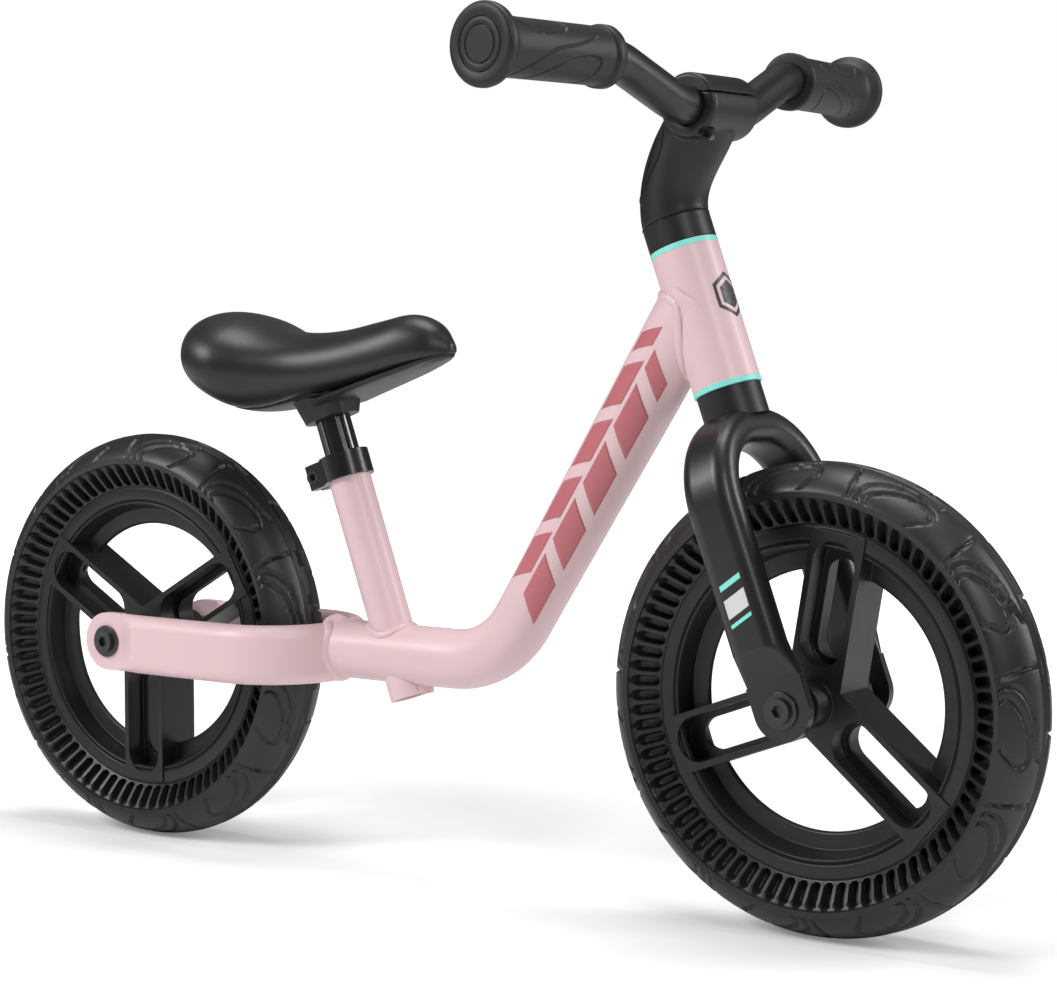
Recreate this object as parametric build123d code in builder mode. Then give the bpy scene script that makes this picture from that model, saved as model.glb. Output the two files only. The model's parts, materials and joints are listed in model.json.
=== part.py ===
"""Balance bike with 10 inch wheels, millimetres, +X forward, +Y to the rider's left, +Z up.

The origin is on the ground, midway between the axles. Every physical piece is one solid, or one group
of identical fasteners, written to parts/ under its own name.
"""

from build123d import *
import math
import os

os.makedirs("parts", exist_ok=True)

# ---------------------------------------------------------------- driving dimensions
WHEEL_R = 127.0             # 10 inch tyre
WHEELBASE = 480.0
HEAD_LEAN = 20.4            # steering axis, degrees back from vertical, through the front axle
SEAT_LEAN = 20.0            # seat tube, degrees back from vertical
DOWN_TUBE_RISE = 57.5       # down tube, degrees up from the ground
LOW_TUBE_Z = 129.5          # height of the low tube's centre line
LOW_TUBE_R = 17.5
DOWN_TUBE_TOP_R = 20.0
TUBE_WALL = 1.6
BEND_X = 27.3               # where the low tube's and the down tube's centre lines meet
BEND_RADIUS = 57.0

HEAD_TUBE_R = 18.8
HEAD_TUBE_SPAN = (176.7, 253.0)      # along the steering axis, from the front axle
SEAL_H = 3.1                         # coloured ring at each end of the head tube
COLLAR_GAP = 0.2                     # running gap between a seal and its collar
LOWER_COLLAR_S = 156.0
LOWER_COLLAR_R = 17.9
UPPER_COLLAR_TOP_S = 270.6
STEERER_R = 12.7
RUN_GAP = 0.05                       # radial running clearance

YOKE_CENTRE_X = -141.0      # centre of the horseshoe bend that joins the two stays
YOKE_HALF_W = 46.0          # centre line of each stay
YOKE_H = 35.6
YOKE_T = 18.0
YOKE_CORNER = 8.5           # the section is a tall oval
STAY_END = 28.0             # each stay ends here, ahead of the axle, and its dropout begins

DROPOUT_FACE = 46.5         # outer face of all four dropouts
DROPOUT_T = 5.0
DROPOUT_EDGE_R = 2.3
BOLT_HOLE_GAP = 0.2

SEAT_TUBE_R = 12.7
SEAT_POST_R = 10.6
SEAT_TUBE_SPAN = (-27.0, 122.0)      # along the seat axis, from the low tube's centre line
SEAT_CLAMP_SPAN = (109.0, 124.0)
SEAT_POST_SPAN = (28.0, 154.0)
SEAT_SLOT = (26.0, 3.0)              # length and width of the slot in the seat tube's top
SEAT_BRACKET_T = 146.5               # underside of the saddle's bracket

RIM_R = 94.35
RIM_LIP_R = 84.0
RIM_WEB_R = 70.0
RIM_HALF_W = 13.2
SPOKE_FACE = 15.0
SPOKE_W = 32.0
SPOKE_WALL = 3.5
HUB_R = 13.0
HUB_HALF_W = 30.0
BEARING_R = 9.5
BEARING_W = 5.0
AXLE_R = 5.0
BOLT_R = 3.0

TYRE_BEAD_HALF_W = 13.0
TYRE_RING_R = 112.4
TYRE_RING_HALF_W = 23.0
TYRE_HALF_W = 24.6

FORK_LEG_Y = 48.0
FORK_LEG_DEPTH = 31.0       # front to back
FORK_LEG_T = 19.0
FORK_TOP_S = 151.0          # crown's centre line
FORK_CROWN_BEND = 42.0
FORK_PLATE_W = 33.4

BAR_R = 10.5
BAR_WALL = 1.8
BAR_CLAMP = (167.0, 441.4)  # x, z of the bar's centre in the stem
BAR_SWEEP = 6.2             # degrees that each end points back
BAR_BEND_Y = 34.0           # where each side starts to rise
BAR_BEND_RADIUS = 45.0
GRIP_END = (151.0, 187.4, 461.6)     # centre of the left grip's end face
GRIP_LENGTH = 94.0
GRIP_CAP_T = 4.0                     # rubber over the bar's end
BAR_RISE_END = 102.5                 # from the grip's end face to the bend inside it
GRIP_R = 15.0
GRIP_COLLAR_R = 16.3
GRIP_COLLAR_W = 8.0
GRIP_END_R = 21.0
GRIP_END_T = 7.0
GRIP_FLARE = 15.0

REAR_X = -WHEELBASE / 2
FRONT_X = WHEELBASE / 2
AXLE_Z = WHEEL_R


# ---------------------------------------------------------------- reference planes
def direction(lean):
    """Unit vector that leans back from vertical by an angle in degrees."""
    return Vector(-math.sin(math.radians(lean)), 0, math.cos(math.radians(lean)))


def forward(lean):
    """Unit vector square to direction(lean), pointing forward."""
    return Vector(math.cos(math.radians(lean)), 0, math.sin(math.radians(lean)))


STEER_UP = direction(HEAD_LEAN)
STEER_FORWARD = forward(HEAD_LEAN)
FRONT_AXLE = Vector(FRONT_X, 0, AXLE_Z)
FORK_PLANE = Plane(origin=FRONT_AXLE, x_dir=(0, 1, 0), z_dir=STEER_FORWARD)

SEAT_UP = direction(SEAT_LEAN)
SEAT_FORWARD = forward(SEAT_LEAN)
SEAT_FOOT = Vector(-46.0, 0, LOW_TUBE_Z)


def steer_plane(s, y=0):
    """Section across the steering axis, s above the front axle."""
    return Plane(origin=FRONT_AXLE + STEER_UP * s + Vector(0, y, 0), x_dir=STEER_FORWARD, z_dir=STEER_UP)


def seat_plane(t):
    """Section across the seat tube, t above the low tube's centre line."""
    return Plane(origin=SEAT_FOOT + SEAT_UP * t, x_dir=SEAT_FORWARD, z_dir=SEAT_UP)


def side_plane(x, y, z):
    """Upright plane along the bike: local x forward, local y up, normal to the rider's right."""
    return Plane(origin=(x, y, z), x_dir=(1, 0, 0), z_dir=(0, -1, 0))


def radial_plane(x):
    """Plane through an axle for revolved profiles: local x is the radius, local y runs along the axle."""
    return Plane(origin=(x, 0, AXLE_Z), x_dir=(1, 0, 0), z_dir=(0, 0, 1))


def cross_plane(x, y, z):
    """Upright plane across the bike at x: local x to the left, local y up."""
    return Plane(origin=(x, y, z), x_dir=(0, 1, 0), z_dir=(1, 0, 0))


def axle_axis(x):
    return Axis((x, 0, AXLE_Z), (0, 1, 0))


def keep(part, name):
    """Label a finished piece and write it to its own file."""
    part.label = name
    export_step(part, f"parts/{name}.step")


# ---------------------------------------------------------------- frame
def yoke_tube(grow):
    """Horseshoe tube: two stays and the bend between them, its section offset by grow."""
    start_x = REAR_X + STAY_END
    with BuildPart() as tube:
        with BuildLine(Plane.XY.offset(AXLE_Z)) as path:
            Line((start_x, -YOKE_HALF_W), (YOKE_CENTRE_X, -YOKE_HALF_W))
            turn = CenterArc((YOKE_CENTRE_X, 0), YOKE_HALF_W, -90, 180)
            Line(turn @ 1, (start_x, YOKE_HALF_W))
        with BuildSketch(cross_plane(start_x, -YOKE_HALF_W, AXLE_Z)):
            RectangleRounded(YOKE_T + 2 * grow, YOKE_H + 2 * grow, YOKE_CORNER + grow)
        sweep(path=path.line)
    return tube.part


def yoke_dropout(side):
    """Flattened end of a stay, with its round end and the bolt hole."""
    plate_y = side * (DROPOUT_FACE - DROPOUT_T / 2)
    plate_length = 12.0
    with BuildPart() as end:
        with BuildSketch(side_plane(REAR_X, plate_y, AXLE_Z)):
            Circle(YOKE_H / 2)
            with Locations((plate_length / 2, 0)):
                Rectangle(plate_length, YOKE_H)
        extrude(amount=DROPOUT_T / 2, both=True)
        with BuildSketch(cross_plane(REAR_X + plate_length, plate_y, AXLE_Z)):
            RectangleRounded(DROPOUT_T, YOKE_H, DROPOUT_EDGE_R)
        with BuildSketch(cross_plane(REAR_X + STAY_END, side * YOKE_HALF_W, AXLE_Z)):
            RectangleRounded(YOKE_T, YOKE_H, YOKE_CORNER)
        loft()
        with Locations(side_plane(REAR_X, plate_y, AXLE_Z)):
            Hole(BOLT_R + BOLT_HOLE_GAP)
    return end.part


yoke_form = yoke_tube(0)

with BuildPart() as rear_yoke:
    add(yoke_form)
    add(yoke_tube(-TUBE_WALL), mode=Mode.SUBTRACT)
    add(yoke_dropout(1))
    add(yoke_dropout(-1))
keep(rear_yoke.part, "rear_yoke")

DOWN_DIR = Vector(math.cos(math.radians(DOWN_TUBE_RISE)), 0, math.sin(math.radians(DOWN_TUBE_RISE)))
DOWN_TUBE_START = 40.0      # the flare begins here, past the bend
DOWN_TUBE_LENGTH = 252.0
NUB_X = -28.0               # drain nub under the low tube
NUB_R = 6.0
NUB_DROP = 4.0


def main_tube_form(grow):
    """Low tube, bend and flared down tube, offset by grow."""
    bend = Vector(BEND_X, 0, LOW_TUBE_Z)
    rear = Vector(YOKE_CENTRE_X + YOKE_HALF_W, 0, LOW_TUBE_Z)
    with BuildPart() as tube:
        with BuildLine() as path:
            FilletPolyline(rear, bend, bend + DOWN_DIR * DOWN_TUBE_START, radius=BEND_RADIUS)
        with BuildSketch(cross_plane(rear.X, 0, rear.Z)):
            Circle(LOW_TUBE_R + grow)
        sweep(path=path.line)
        with BuildSketch(Plane(origin=bend + DOWN_DIR * DOWN_TUBE_START, z_dir=DOWN_DIR)):
            Circle(LOW_TUBE_R + grow)
        with BuildSketch(Plane(origin=bend + DOWN_DIR * DOWN_TUBE_LENGTH, z_dir=DOWN_DIR)):
            Circle(DOWN_TUBE_TOP_R + grow)
        loft()
    return tube.part


with BuildPart() as main_tube:
    add(main_tube_form(0))
    with BuildSketch(Plane.XY.offset(LOW_TUBE_Z - LOW_TUBE_R - NUB_DROP)):
        with Locations((NUB_X, 0)):
            Circle(NUB_R)
    extrude(amount=LOW_TUBE_R)
    add(main_tube_form(-TUBE_WALL), mode=Mode.SUBTRACT)
    add(yoke_form, mode=Mode.SUBTRACT)
    with BuildSketch(steer_plane((HEAD_TUBE_SPAN[0] + HEAD_TUBE_SPAN[1]) / 2)):
        Circle(HEAD_TUBE_R)
    extrude(amount=HEAD_TUBE_SPAN[1] - HEAD_TUBE_SPAN[0], both=True, mode=Mode.SUBTRACT)
    with BuildSketch(seat_plane(0)):
        Circle(SEAT_TUBE_R)
    extrude(amount=3 * LOW_TUBE_R, both=True, mode=Mode.SUBTRACT)
main_tube_solid = main_tube.part.solids().sort_by(SortBy.VOLUME)[-1]
keep(Part() + main_tube_solid, "main_tube")

HEAD_CUP_R = HEAD_TUBE_R - 1.8       # seat of a headset bearing
HEAD_CUP_H = 8.0
SEAL_EDGE = 0.4
head_low, head_high = HEAD_TUBE_SPAN
head_cup_upper = head_high - HEAD_CUP_H

with BuildPart() as head_tube:
    with BuildSketch(steer_plane(head_low)):
        Circle(HEAD_TUBE_R)
        Circle(STEERER_R + TUBE_WALL, mode=Mode.SUBTRACT)
    extrude(amount=head_high - head_low)
    for cup_s in (head_low, head_cup_upper):
        with BuildSketch(steer_plane(cup_s)):
            Circle(HEAD_CUP_R)
        extrude(amount=HEAD_CUP_H, mode=Mode.SUBTRACT)
keep(head_tube.part, "head_tube")

for name, cup_s in (("headset_bearing_lower", head_low), ("headset_bearing_upper", head_cup_upper)):
    with BuildPart() as headset_bearing:
        with BuildSketch(steer_plane(cup_s)):
            Circle(HEAD_CUP_R)
            Circle(STEERER_R + RUN_GAP, mode=Mode.SUBTRACT)
        extrude(amount=HEAD_CUP_H)
    keep(headset_bearing.part, name)

for name, seal_s in (("headset_seal_lower", head_low - SEAL_H), ("headset_seal_upper", head_high)):
    with BuildPart() as headset_seal:
        with BuildSketch(steer_plane(seal_s)):
            Circle(HEAD_TUBE_R + 0.2)
            Circle(STEERER_R + 1, mode=Mode.SUBTRACT)
        extrude(amount=SEAL_H)
        fillet(headset_seal.edges().filter_by(GeomType.CIRCLE).group_by(SortBy.RADIUS)[-1], SEAL_EDGE)
    keep(headset_seal.part, name)

tube_low, tube_high = SEAT_TUBE_SPAN
slot_length, slot_width = SEAT_SLOT

with BuildPart() as seat_tube:
    with BuildSketch(seat_plane(tube_low)):
        Circle(SEAT_TUBE_R)
        Circle(SEAT_POST_R + RUN_GAP, mode=Mode.SUBTRACT)
    extrude(amount=tube_high - tube_low)
    with BuildSketch(seat_plane(tube_high - slot_length)):
        with Locations((-SEAT_TUBE_R, 0)):
            Rectangle(SEAT_TUBE_R, slot_width)
    extrude(amount=slot_length, mode=Mode.SUBTRACT)
keep(seat_tube.part, "seat_tube")

# The clamp band closes round the tube's slotted top: its ears point back, with the bolt across them.
CLAMP_R = 15.2
EAR_REACH = 25.0
EAR_HALF_W = 8.5
EAR_GAP = 3.0
EAR_CORNER = 1.5
CLAMP_BOLT_X = -20.3
CLAMP_BOLT_R = 2.5
CLAMP_BOLT_HEAD_R = 4.5
CLAMP_BOLT_HEAD_H = 3.6
CLAMP_BOLT_RECESS = 3.4
CLAMP_BOLT_SOCKET_R = 2.3
CLAMP_BOLT_SOCKET_DEPTH = 2.4
CLAMP_NUT_H = 3.2
FIT_GAP = 0.1

clamp_low, clamp_high = SEAT_CLAMP_SPAN
clamp_mid = (clamp_low + clamp_high) / 2
clamp_bolt_centre = SEAT_FOOT + SEAT_UP * clamp_mid + SEAT_FORWARD * CLAMP_BOLT_X


def clamp_bolt_plane(y):
    """Plane across the clamp bolt, its normal to the rider's right."""
    return Plane(origin=clamp_bolt_centre + Vector(0, y, 0), x_dir=SEAT_FORWARD, z_dir=(0, -1, 0))


with BuildPart() as seat_clamp:
    with BuildSketch(seat_plane(clamp_low)):
        Circle(CLAMP_R)
        with Locations((-EAR_REACH / 2, 0)):
            Rectangle(EAR_REACH, 2 * EAR_HALF_W)
    extrude(amount=clamp_high - clamp_low)
    fillet(seat_clamp.edges().filter_by(Axis(seat_plane(0).origin, SEAT_UP)).sort_by(Axis.X)[:2], EAR_CORNER)
    with BuildSketch(seat_plane(clamp_low)):
        Circle(SEAT_TUBE_R)
        with Locations((-EAR_REACH / 2, 0)):
            Rectangle(EAR_REACH + 2, EAR_GAP)
    extrude(amount=clamp_high - clamp_low, mode=Mode.SUBTRACT)
    with BuildSketch(seat_plane(tube_high)):
        Circle(SEAT_TUBE_R)
        Circle(SEAT_POST_R + 6 * FIT_GAP, mode=Mode.SUBTRACT)
        with Locations((-EAR_REACH / 2, 0)):
            Rectangle(EAR_REACH, EAR_GAP, mode=Mode.SUBTRACT)
    extrude(amount=clamp_high - tube_high)
    with Locations(clamp_bolt_plane(0)):
        Hole(CLAMP_BOLT_R + FIT_GAP)
    for head_side in (-1, 1):
        with BuildSketch(clamp_bolt_plane(head_side * EAR_HALF_W)):
            Circle(CLAMP_BOLT_HEAD_R + FIT_GAP)
        extrude(amount=head_side * CLAMP_BOLT_RECESS, mode=Mode.SUBTRACT)
keep(seat_clamp.part, "seat_clamp")

clamp_seat_y = EAR_HALF_W - CLAMP_BOLT_RECESS

with BuildPart() as seat_clamp_bolt:
    with BuildSketch(clamp_bolt_plane(-clamp_seat_y)):
        Circle(CLAMP_BOLT_HEAD_R)
    extrude(amount=CLAMP_BOLT_HEAD_H)
    with BuildSketch(clamp_bolt_plane(-clamp_seat_y)):
        Circle(CLAMP_BOLT_R)
    extrude(amount=-(clamp_seat_y + EAR_HALF_W))
    with BuildSketch(clamp_bolt_plane(-clamp_seat_y - CLAMP_BOLT_HEAD_H)):
        RegularPolygon(CLAMP_BOLT_SOCKET_R, 6)
    extrude(amount=-CLAMP_BOLT_SOCKET_DEPTH, mode=Mode.SUBTRACT)
keep(seat_clamp_bolt.part, "seat_clamp_bolt")

with BuildPart() as seat_clamp_nut:
    with BuildSketch(clamp_bolt_plane(clamp_seat_y + FIT_GAP)):
        RegularPolygon(CLAMP_BOLT_HEAD_R - FIT_GAP, 6)
        Circle(CLAMP_BOLT_R, mode=Mode.SUBTRACT)
    extrude(amount=-CLAMP_NUT_H)
keep(seat_clamp_nut.part, "seat_clamp_nut")

# ---------------------------------------------------------------- saddle and post
FLUTES = 6
FLUTE_R = 2.0
FLUTE_CENTRE = 0.6          # the flute cutter's centre stands this far outside the post
POST_WALL = 3.2

with BuildPart() as seat_post:
    post_low, post_high = SEAT_POST_SPAN
    with BuildSketch(seat_plane(post_low)):
        Circle(SEAT_POST_R)
        with PolarLocations(SEAT_POST_R + FLUTE_CENTRE, FLUTES, start_angle=30):
            Circle(FLUTE_R, mode=Mode.SUBTRACT)
        Circle(SEAT_POST_R - POST_WALL, mode=Mode.SUBTRACT)
    extrude(amount=post_high - post_low)
keep(seat_post.part, "seat_post")

# Saddle sections from tail to nose: x, half width, top z, z of the widest line, bottom z.
SADDLE_SECTIONS = [
    (-196.0, 5.0, 315.0, 308.0, 301.0),
    (-193.0, 19.0, 321.0, 307.0, 294.0),
    (-185.0, 36.0, 327.5, 306.0, 286.0),
    (-172.0, 48.0, 331.0, 303.0, 277.5),
    (-153.0, 51.0, 328.0, 299.0, 271.0),
    (-131.0, 41.5, 320.5, 296.5, 271.5),
    (-108.0, 33.0, 318.5, 295.0, 277.0),
    (-82.0, 28.0, 320.5, 297.0, 282.5),
    (-55.0, 24.0, 326.0, 302.0, 289.5),
    (-34.0, 20.0, 329.8, 307.0, 296.0),
    (-18.0, 14.5, 325.5, 309.0, 301.0),
    (-8.0, 6.0, 316.0, 309.0, 305.0),
]
SADDLE_EDGE = ((-95.0, 277.3), (0.0, 309.7))     # lower edge of the cover, x and z
SHELL_TOP = ((-168.0, 283.0), (-93.0, 283.0), (-14.0, 310.0))    # top of the base, let into the pad
SHELL_REAR_R = 20.0
SHELL_NOSE_R = 7.0
SHELL_REACH = 100.0
SADDLE_BELOW_Z = 255.0                           # clear of the saddle's underside
BRACKET_FOOT = (29.0, 27.0)
BRACKET_HEAD = (38.0, 31.0)
BRACKET_HEAD_X = -102.0
BRACKET_TOP_Z = 280.0
BRACKET_CORNER = 8.0
POST_SOCKET = 30.0


def saddle_section(half_w, top, waist, bottom):
    """Egg-shaped section of the whole saddle, widest at the waist's height."""
    drop, crown = waist - bottom, top - waist
    cos45 = math.sqrt(0.5)
    Spline(
        (0, crown),
        (half_w * cos45, crown * cos45),
        (half_w, 0),
        (half_w * cos45, -drop * cos45),
        (0, -drop),
        (-half_w * cos45, -drop * cos45),
        (-half_w, 0),
        (-half_w * cos45, crown * cos45),
        periodic=True,
    )


with BuildPart() as saddle_form:
    for x, half_w, top, waist, bottom in SADDLE_SECTIONS:
        with BuildSketch(cross_plane(x, 0, waist)):
            with BuildLine():
                saddle_section(half_w, top, waist, bottom)
            make_face()
    loft()

# The base fills the underside: a plate let into the pad all along, and the edge that shows under the nose.
with BuildPart() as base_plate:
    with BuildSketch(Plane.XZ):
        with BuildLine():
            Polyline(
                *SHELL_TOP,
                (SHELL_TOP[-1][0], SADDLE_BELOW_Z),
                (SHELL_TOP[0][0], SADDLE_BELOW_Z),
                close=True,
            )
        make_face()
    extrude(amount=SHELL_REAR_R, both=True)
    with BuildSketch(Plane.XY.offset(SADDLE_BELOW_Z)) as shell_outline:
        with Locations((SHELL_TOP[0][0] + SHELL_REAR_R, 0)):
            Circle(SHELL_REAR_R)
        with Locations((SHELL_TOP[-1][0] - SHELL_NOSE_R, 0)):
            Circle(SHELL_NOSE_R)
        make_hull(shell_outline.edges())
    extrude(amount=SHELL_REACH, mode=Mode.INTERSECT)

with BuildPart() as base_zone:
    (edge_x, edge_z), (nose_x, nose_z) = SADDLE_EDGE
    with BuildSketch(Plane.XZ):
        with BuildLine():
            Polyline(
                (edge_x, edge_z),
                (nose_x, nose_z),
                (nose_x, SADDLE_BELOW_Z),
                (edge_x, SADDLE_BELOW_Z),
                close=True,
            )
        make_face()
    extrude(amount=2 * SHELL_REAR_R, both=True)
    add(base_plate.part)

with BuildPart() as saddle_pad:
    add(saddle_form.part)
    add(base_zone.part, mode=Mode.SUBTRACT)
keep(saddle_pad.part, "saddle_pad")

with BuildPart() as saddle_base:
    add(saddle_form.part)
    add(base_zone.part, mode=Mode.INTERSECT)
    with BuildSketch(seat_plane(SEAT_BRACKET_T)):
        Circle(SEAT_POST_R)
    extrude(amount=post_high - SEAT_BRACKET_T, mode=Mode.SUBTRACT)

# The bracket is a tapered block under the base, with a socket for the post.
with BuildPart() as bracket_form:
    with BuildSketch(seat_plane(SEAT_BRACKET_T)):
        RectangleRounded(*BRACKET_FOOT, BRACKET_CORNER)
    with BuildSketch(Plane(origin=(BRACKET_HEAD_X, 0, BRACKET_TOP_Z), x_dir=(1, 0, 0), z_dir=(0, 0, 1))):
        RectangleRounded(*BRACKET_HEAD, BRACKET_CORNER)
    loft()

with BuildPart() as saddle_bracket:
    add(bracket_form.part)
    with BuildSketch(seat_plane(SEAT_BRACKET_T)):
        Circle(SEAT_POST_R)
    extrude(amount=POST_SOCKET, mode=Mode.SUBTRACT)
    add(saddle_form.part, mode=Mode.SUBTRACT)
bracket_block = saddle_bracket.part.solids().sort_by(SortBy.VOLUME)[-1]
keep(Part() + bracket_block, "saddle_bracket")
base_block = saddle_base.part.solids().sort_by(SortBy.VOLUME)[-1]
keep(Part() + base_block, "saddle_base")

# ---------------------------------------------------------------- fork, steerer and collars
FORK_FOOT_S = 34.0          # the round leg ends here and its dropout begins
FORK_PLATE_S = 16.0         # top of the flat plate
FORK_CORNER = 9.1
FORK_WALL = 1.8
STEERER_TOP_S = 292.0
STEERER_WALL = 2.0
STEERER_FLOOR = 6.0


def fork_tube(grow):
    """Both legs and the crown as one bent oval tube, offset by grow."""
    with BuildPart() as tube:
        with BuildLine(FORK_PLANE) as path:
            FilletPolyline(
                (-FORK_LEG_Y, FORK_FOOT_S),
                (-FORK_LEG_Y, FORK_TOP_S),
                (FORK_LEG_Y, FORK_TOP_S),
                (FORK_LEG_Y, FORK_FOOT_S),
                radius=FORK_CROWN_BEND,
            )
        with BuildSketch(steer_plane(FORK_FOOT_S, -FORK_LEG_Y)):
            RectangleRounded(FORK_LEG_DEPTH + 2 * grow, FORK_LEG_T + 2 * grow, FORK_CORNER + grow)
        sweep(path=path.line)
    return tube.part


def fork_dropout(side):
    """Flattened foot of a fork leg."""
    plate_y = side * (DROPOUT_FACE - DROPOUT_T / 2)
    leg = Plane(origin=FRONT_AXLE + Vector(0, plate_y, 0), x_dir=STEER_FORWARD, z_dir=(0, -1, 0))
    with BuildPart() as foot:
        with BuildSketch(leg):
            Circle(FORK_PLATE_W / 2)
            with Locations((0, FORK_PLATE_S / 2)):
                Rectangle(FORK_PLATE_W, FORK_PLATE_S)
        extrude(amount=DROPOUT_T / 2, both=True)
        with BuildSketch(steer_plane(FORK_PLATE_S, plate_y)):
            RectangleRounded(FORK_PLATE_W, DROPOUT_T, DROPOUT_EDGE_R)
        with BuildSketch(steer_plane(FORK_FOOT_S, side * FORK_LEG_Y)):
            RectangleRounded(FORK_LEG_DEPTH, FORK_LEG_T, FORK_CORNER)
        loft()
        with Locations(leg):
            Hole(BOLT_R + BOLT_HOLE_GAP)
    return foot.part


fork_form = fork_tube(0)

with BuildPart() as steerer_solid:
    with BuildSketch(steer_plane(FORK_TOP_S)):
        Circle(STEERER_R)
    extrude(amount=STEERER_TOP_S - FORK_TOP_S)

with BuildPart() as fork:
    add(fork_form)
    add(fork_tube(-FORK_WALL), mode=Mode.SUBTRACT)
    add(fork_dropout(1))
    add(fork_dropout(-1))
    add(steerer_solid.part, mode=Mode.SUBTRACT)
keep(fork.part, "fork")

with BuildPart() as steerer_tube:
    add(steerer_solid.part)
    with BuildSketch(steer_plane(FORK_TOP_S + STEERER_FLOOR)):
        Circle(STEERER_R - STEERER_WALL)
    extrude(amount=STEERER_TOP_S - FORK_TOP_S, mode=Mode.SUBTRACT)
keep(steerer_tube.part, "steerer_tube")

with BuildPart() as lower_collar:
    with BuildSketch(steer_plane(LOWER_COLLAR_S)):
        Circle(LOWER_COLLAR_R)
        Circle(STEERER_R, mode=Mode.SUBTRACT)
    extrude(amount=head_low - SEAL_H - COLLAR_GAP - LOWER_COLLAR_S)
    add(fork_form, mode=Mode.SUBTRACT)
lower_collar_solid = lower_collar.part.solids().sort_by(SortBy.VOLUME)[-1]
keep(Part() + lower_collar_solid, "lower_collar")

with BuildPart() as upper_collar:
    upper_collar_s = head_high + SEAL_H + COLLAR_GAP
    with BuildSketch(steer_plane(upper_collar_s)):
        Circle(HEAD_TUBE_R)
        Circle(STEERER_R, mode=Mode.SUBTRACT)
    extrude(amount=UPPER_COLLAR_TOP_S - upper_collar_s)
keep(upper_collar.part, "upper_collar")


# ---------------------------------------------------------------- stem, bar and grips
SWEEP_IN = Vector(math.sin(math.radians(BAR_SWEEP)), -math.cos(math.radians(BAR_SWEEP)), 0)


def grip_plane(side):
    """Plane through a grip's axis: local x is the radius, local y runs inward from the end face."""
    end_x, end_y, end_z = GRIP_END
    sweep_dir = Vector(SWEEP_IN.X, side * SWEEP_IN.Y, 0)
    radial = Vector(-side * sweep_dir.Y, side * sweep_dir.X, 0)
    return Plane(origin=(end_x, side * end_y, end_z), x_dir=radial, z_dir=(0, 0, -side))


def on_grip(side, inward):
    """Point on a grip's axis, a distance inward from its end face."""
    return grip_plane(side).from_local_coords(Vector(0, inward, 0))


def bar_path_points():
    """Corner points of the bar's centre line from right end to left end."""
    clamp_x, clamp_z = BAR_CLAMP
    right = [on_grip(-1, GRIP_CAP_T), on_grip(-1, BAR_RISE_END), Vector(clamp_x, -BAR_BEND_Y, clamp_z)]
    left = [on_grip(1, GRIP_CAP_T), on_grip(1, BAR_RISE_END), Vector(clamp_x, BAR_BEND_Y, clamp_z)]
    return right + left[::-1]


def bar_tube(radius):
    """The bent bar as one round tube of the given radius."""
    points = bar_path_points()
    with BuildPart() as tube:
        with BuildLine() as path:
            FilletPolyline(*points, radius=BAR_BEND_RADIUS)
        with BuildSketch(Plane(origin=points[0], z_dir=points[1] - points[0])):
            Circle(radius)
        sweep(path=path.line)
    return tube.part


bar_form = bar_tube(BAR_R)

with BuildPart() as handlebar:
    add(bar_form)
    add(bar_tube(BAR_R - BAR_WALL), mode=Mode.SUBTRACT)
keep(handlebar.part, "handlebar")


def stem_section(x, z, tilt):
    """Section plane of the stem's neck, tilted back by an angle in degrees."""
    return Plane(origin=(x, 0, z), x_dir=forward(tilt), z_dir=direction(tilt))


BARREL_R = 17.4
BARREL_HALF_W = 24.0
BARREL_EDGE = 2.5
CAP_SPLIT_Z = 448.0
CAP_GAP = 0.6
STEM_REACH = 40.0           # half size of the cutters round the stem

# Neck sections from the collar up: x, z, tilt in degrees, radius along the bike, radius across it.
NECK_SECTIONS = [
    (144.6, 392.0, 9.0, 18.8, 18.8),
    (149.8, 411.0, -6.0, 20.0, 19.0),
    (161.5, 433.0, -14.0, 19.0, 20.5),
]

with BuildPart() as stem_form:
    with BuildSketch(steer_plane(UPPER_COLLAR_TOP_S)):
        Circle(HEAD_TUBE_R)
    for neck_x, neck_z, tilt, along, across in NECK_SECTIONS:
        with BuildSketch(stem_section(neck_x, neck_z, tilt)):
            Ellipse(along, across)
    loft()
    with BuildSketch(side_plane(BAR_CLAMP[0], 0, BAR_CLAMP[1])):
        Circle(BARREL_R)
    extrude(amount=BARREL_HALF_W, both=True)
    barrel_rims = stem_form.edges().filter_by(GeomType.CIRCLE).filter_by(
        lambda edge: abs(abs(edge.arc_center.Y) - BARREL_HALF_W) < RUN_GAP
    )
    fillet(barrel_rims, BARREL_EDGE)

with BuildPart() as steerer_cut:
    with BuildSketch(steer_plane(UPPER_COLLAR_TOP_S - 1)):
        Circle(STEERER_R)
    extrude(amount=STEERER_TOP_S - UPPER_COLLAR_TOP_S + 1)

# Screw that closes the clamp, in a bore that opens on the neck's right side, under the bar.
SCREW_X = 177.0
SCREW_Z = 426.0
SCREW_BORE_R = 3.5
SCREW_BORE_Y = (-30.0, -14.0)
SCREW_HEAD_Y = (-20.0, -16.0)
SCREW_SOCKET = (2.0, 2.5)   # hexagon's radius and depth

# The rear cover's parting line, seen from the side: foot, middle and top, x and z.
COVER_SEAM = ((122.0, 389.0), (137.5, 410.0), (141.0, 430.0))
COVER_TOP = (138.0, 437.0)
COVER_BACK_X = 110.0

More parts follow.
